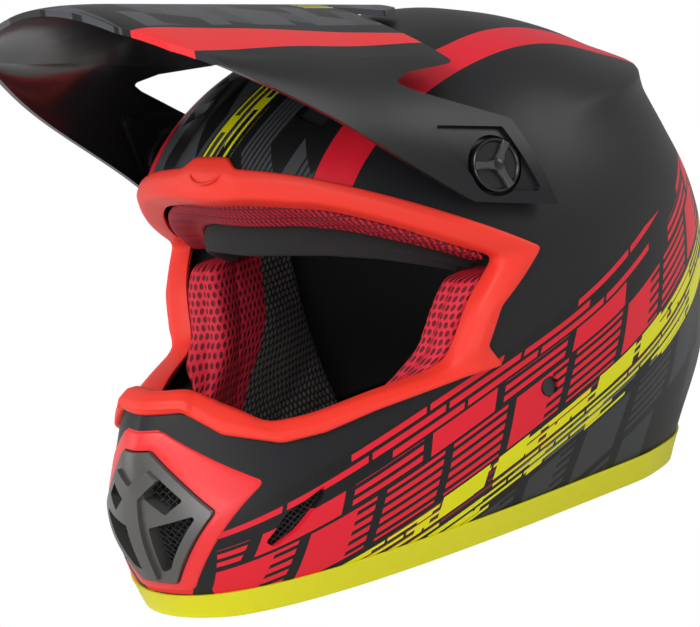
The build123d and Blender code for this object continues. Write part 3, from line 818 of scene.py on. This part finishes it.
def build_trim(m):
    """Rubber trim round the eyeport: a sloped band with a lip, a brow tab and a chin boss."""
    outer = smooth_loop(round_port(PORT_OUTER, PORT_COUNTS), 2)
    inner = smooth_loop(round_port(PORT_INNER, PORT_COUNTS), 16)
    x = np.abs(outer[:, 0])
    tab = (outer[:, 2] > 180) & (x < 24)
    outer[:, 2] += np.where(tab, 4.3 * (1 - soft_step(x, 9.0, 19.0)), 0)
    outer[:, 1] = np.where(tab, front_y(outer[:, 0], outer[:, 2]), outer[:, 1])
    profile = [(0.0, -2.6), (0.0, 0.4), (0.0, 1.3), (0.03, 2.0), (0.08, 2.4), (0.14, 2.5), (0.3, 2.5),
               (0.42, 2.4), (0.48, 2.1), (0.56, 1.5), (0.7, 0.5), (0.84, -0.7), (0.92, -1.6),
               (0.97, -2.6), (1.0, -4.2), (1.0, -7.5), (1.0, -11.5), (0.97, -12.8), (0.8, -13.0),
               (0.55, -9.0), (0.3, -5.0), (0.08, -3.4)]
    n_out, n_in = outward(outer), outward(inner)
    width = np.linalg.norm(outer - inner, axis=1)
    rows = []
    low = outer[:, 2] < 114
    boss = low * (1 - soft_step(x, 22.5, 24.5))
    for w, d in profile:
        base = outer * (1 - w) + inner * w
        lift = n_out * (1 - w) + n_in * w
        bow = w * (1 - w) * width ** 2 / 260.0
        extra = boss * 1.1 if 0.10 < w < 0.86 and d > -1.5 else 0
        rows.append(base + lift * (d + bow + extra)[:, None])
    grid = np.array(rows)
    obj = new_object("eyeport_trim_skin", grid.reshape(-1, 3),
                     tube_grid(grid.shape[:2], True, True), m["trim"], 48)
    ride(obj, BODY, "eyeport_trim")
    t = np.linspace(0, 2 * np.pi, 64, endpoint=False)
    ring = []
    for k in np.linspace(0, 2 * np.pi, 10, endpoint=False):
        a, b = 10.2 + 0.55 * math.cos(k), 4.6 + 0.55 * math.cos(k)
        px, pz = a * np.cos(t), 198.2 + b * np.sin(t)
        ring.append(np.column_stack([px, front_y(px, pz) - 2.35 - 0.35 * math.sin(k), pz]))
    ring = np.array(ring)
    oval = new_object("brow_oval", ring.reshape(-1, 3), tube_grid(ring.shape[:2], True, True),
                      m["trim"], 0)
    ride(oval, BODY)


def chart(obj, across, along):
    """Lays the cloth map of a piece: two functions of the place in millimetres."""
    mesh = obj.data
    co = np.empty(len(mesh.vertices) * 3)
    mesh.vertices.foreach_get("co", co)
    co = co.reshape(-1, 3) / MM
    loop = np.empty(len(mesh.loops), int)
    mesh.loops.foreach_get("vertex_index", loop)
    u, v = across(*co.T)[loop], along(*co.T)[loop]
    layer = mesh.uv_layers.new(name="cloth")
    layer.data.foreach_set("uv", np.column_stack([u, v]).ravel())


def half_line(points, count, grow):
    """Line on a skin from the middle of the face back to the last point of a side-view curve."""
    p = np.asarray(points, float)
    line = np.vstack([a + (b - a) * np.linspace(0, 1, 500)[:, None] for a, b in zip(p, p[1:])])
    tip = front_y(0.0, line[:, 1], grow)
    line = line[line[:, 0] > tip]
    line = np.vstack([[[front_y(0.0, line[0, 1], grow), line[0, 1]]], line])
    x = side_x(line[:, 0], line[:, 1], grow)
    x[0] = 0.0
    pts = np.column_stack([x, line])
    run = np.concatenate([[0], np.cumsum(np.linalg.norm(np.diff(pts, axis=0), axis=1))])
    want = np.linspace(0, run[-1], count)
    half = np.column_stack([np.interp(want, run, pts[:, i]) for i in range(3)])
    return np.vstack([(half * (-1, 1, 1))[:0:-1], half])


def swept(name, lines, material):
    """Closed piece skinned over lines that run side by side round its section."""
    grid = np.array(lines)
    rows, cols = grid.shape[:2]
    faces = tube_grid((rows, cols), False, True)
    faces += [[i * cols for i in range(rows)], [i * cols + cols - 1 for i in range(rows)][::-1]]
    return new_object(name, grid.reshape(-1, 3), faces, material, 0)


COVER_STIFFNESS = 12
CLOTH_FRAMES = 20


def inflate(obj, pins, puff=None):
    """Blows the cover up like stuffed cloth, held along pins, with the movement capped."""
    look = bpy.context.scene.helmet_look
    puff, pressure = look.puff if puff is None else puff, look.pressure
    mesh = obj.data
    co = np.empty(len(mesh.vertices) * 3)
    mesh.vertices.foreach_get("co", co)
    before = co.reshape(-1, 3).copy()
    held = obj.vertex_groups.new(name="held")
    held.add([int(i) for i in np.nonzero(pins(before / MM))[0]], 1.0, "REPLACE")
    c = obj.modifiers.new("cloth", "CLOTH")
    c.settings.quality = 5
    c.settings.vertex_group_mass = "held"
    c.settings.use_pressure = True
    c.settings.uniform_pressure_force = pressure
    c.settings.effector_weights.gravity = 0.0
    c.settings.tension_stiffness = c.settings.compression_stiffness = COVER_STIFFNESS
    c.point_cache.frame_start, c.point_cache.frame_end = 1, CLOTH_FRAMES
    for f in range(1, CLOTH_FRAMES + 1):
        bpy.context.scene.frame_set(f)
        obj.evaluated_get(bpy.context.evaluated_depsgraph_get())
    applied(obj)
    bpy.context.scene.frame_set(1)
    mesh = obj.data
    now = np.empty(len(mesh.vertices) * 3)
    mesh.vertices.foreach_get("co", now)
    step = now.reshape(-1, 3) - before
    far = np.linalg.norm(step, axis=1, keepdims=True)
    now = before + step * np.minimum(1, puff * MM / np.maximum(far, 1e-9))
    mesh.vertices.foreach_set("co", now.ravel())


def refine(obj):
    """Subdivides a piece and smooths its shading."""
    m = obj.modifiers.new("fine", "SUBSURF")
    m.levels = m.render_levels = 1
    applied(obj)
    tidy_mesh(obj, 0)


def cheek_ring(z):
    """Section of a cheek cushion at one height, as (depth below the skin, y) corners."""
    at = lambda zs, vs: float(np.interp(z, zs, vs))
    nose = at([27, 44, 60, 70, 81, 90, 100, 119, 134], [-110, -122, -119, -111, -98, -85, -74, -67, -60])
    out = at([27, 44, 60, 75, 88, 93, 101, 119, 134], [-108, -120, -117, -114, -100, -87, -75, -68, -56])
    g = at([27, 84, 91, 134], [-27.6, -27.6, -14.6, -14.6])
    foam = at([27, 86, 90, 102, 120, 134], [-47.5, -47.5, -54, -60.5, -54, -38])
    inner = at([27, 60, 134], [-47, -43, -37.5])
    return [(-34.2, 0.0), (-34.2, foam), (g - 0.3, foam - 1.0), (g, out), (inner * 0.5 + g * 0.5, nose - 0.5),
            (inner + 1.5, nose + 3), (inner - 1.5, nose + 17), (inner - 4.0, -28), (inner - 4.5, 0.0)]


CHEEK_ROUND = 96        # points round the section of a cheek cushion


def build_cheek(m, side):
    """Cheek cushion of one side with two quilting seams on its face."""
    sign = 1 if side == "left" else -1
    heights = [27.5, 27.5, 28.4, 31, 36, 41, 46, 51, 56, 61, 66, 71, 76, 80, 84, 87, 90, 93, 97, 101, 105,
               109, 113, 117, 121, 125, 128.5, 131, 132.4, 133]
    inset = [14, 5, 2, 0.5] + [0] * (len(heights) - 8) + [0.5, 1.6, 4.0, 13]
    rings, marks = [], []
    for z, tuck in zip(heights, inset):
        c = np.array(cheek_ring(z))
        r = rounded(c, 9.0, 5)
        run = np.concatenate([[0], np.cumsum(np.linalg.norm(np.diff(np.vstack([r, r[:1]]), axis=0), axis=1))])
        loop = np.vstack([r, r[:1]])
        want = np.linspace(0, run[-1], CHEEK_ROUND + 1)[:-1]
        g, y = np.interp(want, run, loop[:, 0]), np.interp(want, run, loop[:, 1])
        x = np.array([float(side_x(yy, z, gg)) for gg, yy in zip(g, y)])
        p = np.column_stack([x, y, np.full(CHEEK_ROUND, z)])
        mid = p[:, :2].mean(0)
        d = p[:, :2] - mid
        p[:, :2] = mid + d * (1 - tuck / np.maximum(np.linalg.norm(d, axis=1, keepdims=True), tuck + 1))
        # quilting seams: one down the middle of the face, one behind the nose
        k1 = int(np.argmin(np.linalg.norm(np.column_stack([g, y]) - c[4], axis=1)))
        k2 = int(np.argmin(np.linalg.norm(np.column_stack([g, y]) - c[6], axis=1)))
        marks.append((k1, k2))
        rings.append(p)
    rows = np.array(rings)
    seam = np.zeros(rows.shape[:2])
    around, half = np.arange(CHEEK_ROUND), CHEEK_ROUND // 2
    for i, (k1, k2) in enumerate(marks):
        for k in (k1, k2):
            dist = np.abs((around - k + half) % CHEEK_ROUND - half)
            seam[i] = np.maximum(seam[i], np.exp(-(dist / 1.1) ** 2))
    mid = rows[:, :, :2].mean(1, keepdims=True)
    d = rows[:, :, :2] - mid
    rows[:, :, :2] -= d / np.linalg.norm(d, axis=2, keepdims=True) * (seam * 2.4)[..., None]
    rows[:, :, 0] *= sign
    count = len(heights)
    verts = np.vstack([rows.reshape(-1, 3), rows[0].mean(0), rows[-1].mean(0)])
    faces = tube_grid((count, CHEEK_ROUND))
    last = (count - 1) * CHEEK_ROUND
    for j in range(CHEEK_ROUND):
        faces.append((j, (j + 1) % CHEEK_ROUND, count * CHEEK_ROUND))
        faces.append((last + j, last + (j + 1) % CHEEK_ROUND, count * CHEEK_ROUND + 1))
    obj = new_object("cheek_cushion_" + side, verts, faces, m["cheek"], 0)
    flat = np.concatenate([seam.ravel(), [1, 1]])
    inward = np.concatenate([np.tile((around < 34) | (around > 92), count), [True, True]])
    pinned = (flat > 0.8) | inward
    inflate(obj, lambda p: pinned[:len(p)])
    # cloth map: round the section from the seam behind the nose, and height
    mesh = obj.data
    layer = mesh.uv_layers.new(name="cloth")
    step = np.linalg.norm(np.diff(rows, axis=1, append=rows[:, :1]), axis=2)
    loops = [l.vertex_index for l in mesh.loops]
    run = np.zeros(rows.shape[:2])
    for i, (k1, k2) in enumerate(marks):
        c = np.concatenate([[0], np.cumsum(step[i])[:-1]])
        run[i] = c - c[k2]
    values = np.column_stack([run.ravel(), rows[:, :, 2].ravel()])
    values = np.vstack([values, [0, 27], [0, 133]])
    layer.data.foreach_set("uv", values[loops].ravel())
    refine(obj)
    ride(obj, BODY, "cheek_pad_" + side)


EDGE_TRIM = [(-300, 187.5), (-127, 186.5), (-112, 181), (-52, 141.5)]
EDGE_MID = [(-300, 178), (-117, 177.5), (-104, 172.5), (-47, 138.5)]
EDGE_PAD = [(-300, 166), (-104, 165.5), (-98, 165), (-86, 160), (-72, 152), (-58, 144), (-42, 134.5)]
EDGE_LOW = [(-300, 152), (-104, 152), (-94, 150), (-79, 145), (-65, 139), (-48, 131.5)]


def shifted(points, dy, dz):
    """Side-view curve moved back and up; its far front end moves up only."""
    return [(y + (dy if y > -200 else 0), z + dz) for y, z in points]


def build_brow(m):
    """Ribbed lining under the brow trim and the fleece cushion below it."""
    n = 70
    lines = [half_line(EDGE_TRIM, n, -13.6), half_line(shifted(EDGE_TRIM, 2, -3), n, -15.6),
             half_line(EDGE_MID, n, -21.5), half_line(shifted(EDGE_PAD, -1, 4.0), n, -28.5),
             half_line(EDGE_PAD, n, -31.5), half_line(shifted(EDGE_PAD, 2, 3), n, -33.5),
             half_line(shifted(EDGE_PAD, 2, 8), n, -31.5), half_line(shifted(EDGE_MID, 4, 7), n, -23.5),
             half_line(shifted(EDGE_TRIM, 3, 3.5), n, -15.4)]
    obj = swept("brow_lining_cover", lines, m["ribbed"])
    refine(obj)
    chart(obj, lambda x, y, z: np.arctan2(x, 12.0 - y) * 105.0, lambda x, y, z: z)
    ride(obj, BODY, "brow_lining")

    lines = [half_line(shifted(EDGE_PAD, 2, 1.5), n, -32.3), half_line(shifted(EDGE_PAD, 0, -0.8), n, -32.6),
             half_line(shifted(EDGE_PAD, -1, -4.0), n, -33.2), half_line(shifted(EDGE_LOW, 1, 5.6), n, -34.2),
             half_line(shifted(EDGE_LOW, 1, 4.2), n, -35.6), half_line(shifted(EDGE_LOW, 0, 2.6), n, -35.4),
             half_line(shifted(EDGE_LOW, 1, 0.2), n, -37.2), half_line(shifted(EDGE_LOW, 4, 0.4), n, -41.0),
             half_line(shifted(EDGE_LOW, 6, 4), n, -44.0), half_line(shifted(EDGE_PAD, 8, 2), n, -44.0),
             half_line(shifted(EDGE_PAD, 6, 12), n, -40.0), half_line(shifted(EDGE_PAD, 4, 8), n, -35.0)]
    obj = swept("brow_cushion", lines, m["fleece"])
    refine(obj)
    ride(obj, BODY, "brow_pad")


def rounded_copy(packed, new_name, voxel, rounds):
    """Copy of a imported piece, remeshed at one grain with its edges rounded off."""
    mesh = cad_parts[packed].data.copy()
    mesh.materials.clear()
    obj = bpy.data.objects.new(new_name, mesh)
    bpy.context.scene.collection.objects.link(obj)
    g = obj.modifiers.new("grain", "REMESH")
    g.mode, g.voxel_size = "VOXEL", voxel * MM
    s = obj.modifiers.new("soft", "SMOOTH")
    s.factor, s.iterations = 0.5, rounds
    return applied(obj)


def soft_copy(packed, new_name, material, voxel, puff):
    """Packed cushion rounded and blown up as a stuffed cover."""
    obj = rounded_copy(packed, new_name, voxel, 6)
    inflate(obj, lambda p: np.zeros(len(p), bool), puff)
    refine(obj)
    obj.data.materials.clear()
    obj.data.materials.append(material)
    chart(obj, lambda x, y, z: np.arctan2(x, 8.0 - y) * 100.0, lambda x, y, z: z)
    ride(obj, BODY, packed)


def build_knobs(m):
    """Peak screws: a dished head on a shank, with a round hub and three arms standing in the dish."""
    for side, sign in (("left", 1), ("right", -1)):
        flip = np.array([sign, 1, 1])
        n, base = SCREW_DIR * flip, SCREW * flip
        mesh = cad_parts["side_knob_" + side].data
        co = np.array([v.co[:] for v in mesh.vertices]) / MM - base
        high = co @ n
        reach = np.linalg.norm(co - np.outer(high, n), axis=1)
        top, foot, radius = high.max(), high.min(), reach.max()
        under = high[reach > radius * 0.9].min()
        shank = reach[high < foot + 0.5].max()
        e1 = np.cross(n, (0, 0, 1.0)) * sign
        e1 /= np.linalg.norm(e1)
        e2 = np.cross(n, e1) * sign
        dish = top - 2.6

        def at(a, b, h):
            return base + e1 * a + e2 * b + n * h

        def loft(name, rings, material, count, body):
            faces = tube_grid((len(rings), count))
            faces += [tuple(range(count))[::-1], tuple((len(rings) - 1) * count + i for i in range(count))]
            obj = new_object(name, np.array(rings).reshape(-1, 3), faces, m[material], 35)
            return ride(obj, "knob_" + side, body)

        turn = np.linspace(0, 2 * np.pi, 40, endpoint=False)
        ring = lambda r, h: [at(r * math.cos(t), r * math.sin(t), h) for t in turn]
        head = [(shank, foot), (shank, under), (radius - 0.4, under), (radius, under + 0.4),
                (radius, top - 1.9), (radius - 0.4, top - 1.5), (radius - 1.0, top - 1.5),
                (radius - 1.5, top - 1.9), (radius - 1.8, dish), (3.6, dish), (3.4, top - 0.8),
                (2.9, top - 0.1), (1.9, top + 0.35), (0.6, top + 0.5)]
        loft("peak_screw_" + side, [ring(r, h) for r, h in head], "knob", 40, "side_knob_" + side)
        for k in range(3):
            c, s = math.cos(math.radians(120 * k - 10)), math.sin(math.radians(120 * k - 10))
            tip = radius * 0.97
            rings = []
            for h, less in ((dish - 0.3, 0.0), (top - 0.6, 0.0), (top, 0.45)):
                flat = [(1.5, -2.3 + less), (tip * 0.55, -1.5 + less), (tip - less, -1.9 + less),
                        (tip - less, 1.9 - less), (tip * 0.55, 1.5 - less), (1.5, 2.3 - less)]
                rings.append([at(c * u - s * v, s * u + c * v, h) for u, v in flat])
            loft("screw_arm_%s_%d" % (side, k + 1), rings, "arm", 6, ())


def build_straps(m):
    """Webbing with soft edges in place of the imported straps."""
    for side in ("left", "right"):
        obj = rounded_copy("strap_" + side, "chin_web_" + side, 0.7, 3)
        obj.data.materials.clear()
        obj.data.materials.append(m["web"])
        obj.data.shade_smooth()
        chart(obj, lambda x, y, z: y, lambda x, y, z: np.abs(x) - z)
        ride(obj, BODY, "strap_" + side)


def build_pads(m):
    """All soft pieces of the lining and the foam of the mouth vent."""
    build_cheek(m, "left")
    build_cheek(m, "right")
    build_brow(m)
    soft_copy("crown_liner", "crown_cushion", m["pebble"], 5.0, 2.0)
    soft_copy("neck_roll", "neck_cushion", m["fleece"], 5.0, 2.0)
    soft_copy("mouth_vent_filter", "vent_foam", m["sponge"], 1.6, 0.3)


# Camera: long lens, from the front left and a little above, with the helmet pitched on its rim.
LENS = 200.3
VIEW_RIGHT = Vector((0.70711, 0.68899, -0.15906))
VIEW_UP = Vector((-0.03701, 0.26070, 0.96471))
VIEW_BACK = Vector((0.70614, -0.67627, 0.20985))
VIEW_DISTANCE = 1.9
AIM = Vector((0.0, -0.046, 0.1084))


def build_stage():
    """Camera, pale floor and four soft lights."""
    scene = bpy.context.scene
    scene.view_settings.view_transform = "Standard"
    cam = bpy.data.cameras.new("camera")
    cam.lens, cam.sensor_width = LENS, 36.0
    cam.clip_start, cam.clip_end = 0.05, 20.0
    eye = bpy.data.objects.new("camera", cam)
    scene.collection.objects.link(eye)
    turn = Matrix((VIEW_RIGHT, VIEW_UP, VIEW_BACK)).transposed()
    eye.matrix_world = Matrix.Translation(AIM + VIEW_BACK * VIEW_DISTANCE) @ turn.to_4x4()
    scene.camera = eye

    world = bpy.data.worlds.new("studio")
    world.use_nodes = True
    world.node_tree.nodes["Background"].inputs[0].default_value = (1, 1, 1, 1)
    world.node_tree.nodes["Background"].inputs[1].default_value = 0.42
    scene.world = world
    tree = world.node_tree
    path = tree.nodes.new("ShaderNodeLightPath")
    plain = tree.nodes.new("ShaderNodeBackground")
    plain.inputs[0].default_value, plain.inputs[1].default_value = (1, 1, 1, 1), 1.0
    mix = tree.nodes.new("ShaderNodeMixShader")
    tree.links.new(path.outputs["Is Camera Ray"], mix.inputs[0])
    tree.links.new(tree.nodes["Background"].outputs[0], mix.inputs[1])
    tree.links.new(plain.outputs[0], mix.inputs[2])
    tree.links.new(mix.outputs[0], tree.nodes["World Output"].inputs[0])

    floor = new_object("floor", [(-3000, -3000, 0), (3000, -3000, 0), (3000, 3000, 0),
                                 (-3000, 3000, 0)], [(0, 1, 2, 3)], None, 0)
    paper = Paint("paper", (0.8, 0.8, 0.8), 0.9)
    t = paper.tree
    glow = t.nodes.new("ShaderNodeEmission")
    glow.inputs[0].default_value, glow.inputs[1].default_value = (1, 1, 1, 1), 1.0
    seen = t.nodes.new("ShaderNodeLightPath")
    both = t.nodes.new("ShaderNodeMixShader")
    t.links.new(seen.outputs["Is Camera Ray"], both.inputs[0])
    t.links.new(paper.bsdf.outputs[0], both.inputs[1])
    t.links.new(glow.outputs[0], both.inputs[2])
    t.links.new(both.outputs[0], t.nodes["Material Output"].inputs[0])
    floor.data.materials.append(paper.material)

    def softbox(name, place, aim, size, power):
        light = bpy.data.lights.new(name, "AREA")
        light.shape, light.size, light.size_y = "RECTANGLE", size[0], size[1]
        light.energy = power
        obj = bpy.data.objects.new(name, light)
        obj.location = place
        obj.rotation_mode = "QUATERNION"
        obj.rotation_quaternion = (Vector(aim) - Vector(place)).to_track_quat("-Z", "Y")
        scene.collection.objects.link(obj)

    softbox("key", (0.2, -1.5, 1.5), (0, -0.05, 0.12), (1.2, 1.0), 22)
    softbox("side", (1.3, 1.2, 1.2), (0, 0, 0.12), (1.0, 1.2), 14)
    softbox("fill", (-1.4, -1.0, 0.6), (0, -0.1, 0.12), (1.0, 1.0), 5)
    softbox("front", (0.9, -1.7, 0.30), (0, 0, 0.13), (0.8, 0.7), 7)


# ---------------------------------------------------------------- add-on

def tint(name, color, text):
    """Colour setting of the panel."""
    return bpy.props.FloatVectorProperty(name=name, description=text, default=color, size=3,
                                         subtype="COLOR", min=0.0, max=1.0)


def size(name, value, top, text):
    """Number setting of the panel."""
    return bpy.props.FloatProperty(name=name, description=text, default=value, min=0.0, max=top)


class HELMET_PG_look(bpy.types.PropertyGroup):
    """Sizes and colours that can be changed"""
    pattern_red: tint("Pattern red", (0.70, 0.010, 0.026), "Red of the blocks on the sides")
    bright_red: tint("Bright red", (0.82, 0.022, 0.026), "Red of the peak bands and the vent plate")
    yellow: tint("Yellow", (0.72, 0.70, 0.0), "Yellow of the slanted band")
    trim_red: tint("Trim", (0.84, 0.040, 0.024), "Colour of the eyeport trim")
    rim_yellow: tint("Rim", (0.68, 0.66, 0.0), "Colour of the neck rim")
    pressure: size("Cushion pressure", 4.0, 10.0, "Pressure inside the stuffed covers")
    puff: size("Cushion growth", 3.0, 6.0, "Farthest that a cover may swell, in mm")
    wire: size("Wire radius", 0.34, 0.8, "Radius of the woven wires, in mm")
    pitch: size("Wire pitch", 2.5, 6.0, "Distance between woven wires, in mm")


class HELMET_OT_shell(bpy.types.Operator):
    """Build the outer shell"""
    bl_idname = "helmet.shell"
    bl_label = "Outer shell"

    def execute(self, context):
        build_shell(FINISHES)
        return {"FINISHED"}


class HELMET_OT_trim(bpy.types.Operator):
    """Build the rubber trim of the eyeport"""
    bl_idname = "helmet.trim"
    bl_label = "Eyeport trim"

    def execute(self, context):
        build_trim(FINISHES)
        return {"FINISHED"}


class HELMET_OT_vents(bpy.types.Operator):
    """Build the woven meshes and the plate round the mouth vent"""
    bl_idname = "helmet.vents"
    bl_label = "Vents"

    def execute(self, context):
        build_vents(FINISHES, context.scene.helmet_look)
        return {"FINISHED"}


class HELMET_OT_pads(bpy.types.Operator):
    """Build the padded lining"""
    bl_idname = "helmet.pads"
    bl_label = "Pads"

    def execute(self, context):
        build_pads(FINISHES)
        return {"FINISHED"}


class HELMET_OT_knobs(bpy.types.Operator):
    """Build the arms of the peak screws"""
    bl_idname = "helmet.knobs"
    bl_label = "Knobs"

    def execute(self, context):
        build_knobs(FINISHES)
        return {"FINISHED"}


class HELMET_OT_straps(bpy.types.Operator):
    """Build the webbing of the chin straps"""
    bl_idname = "helmet.straps"
    bl_label = "Straps"

    def execute(self, context):
        build_straps(FINISHES)
        return {"FINISHED"}


class HELMET_OT_stage(bpy.types.Operator):
    """Build the camera, lights and floor"""
    bl_idname = "helmet.stage"
    bl_label = "Stage"

    def execute(self, context):
        build_stage()
        return {"FINISHED"}


class HELMET_PT_panel(bpy.types.Panel):
    bl_label = "Helmet"
    bl_space_type = "VIEW_3D"
    bl_region_type = "UI"
    bl_category = "Helmet"

    def draw(self, context):
        for name in HELMET_PG_look.__annotations__:
            self.layout.prop(context.scene.helmet_look, name)
        for c in OPERATORS:
            self.layout.operator(c.bl_idname)


OPERATORS = (HELMET_OT_shell, HELMET_OT_trim, HELMET_OT_vents, HELMET_OT_pads, HELMET_OT_knobs,
             HELMET_OT_straps, HELMET_OT_stage)


def register():
    for c in (HELMET_PG_look,) + OPERATORS + (HELMET_PT_panel,):
        bpy.utils.register_class(c)
    bpy.types.Scene.helmet_look = bpy.props.PointerProperty(type=HELMET_PG_look)


def unregister():
    del bpy.types.Scene.helmet_look
    for c in reversed((HELMET_PG_look,) + OPERATORS + (HELMET_PT_panel,)):
        bpy.utils.unregister_class(c)


def main():
    register()
    FINISHES.update(build_materials(bpy.context.scene.helmet_look))
    for name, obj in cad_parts.items():
        obj.data.materials.clear()
        obj.data.materials.append(FINISHES[PACKED_FINISH.get(name, "plug")])
    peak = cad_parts["peak"].data
    peak.materials.append(FINISHES["peak_under"])
    for face in peak.polygons:
        p, n = face.center / MM, face.normal
        if n.x * p.x + n.y * (p.y * 0.3) + n.z * (p.z - 110) < 0:
            face.material_index = 1
    for c in OPERATORS:
        getattr(bpy.ops.helmet, c.bl_idname.split(".")[1])()


if __name__ == "__main__":
    main()
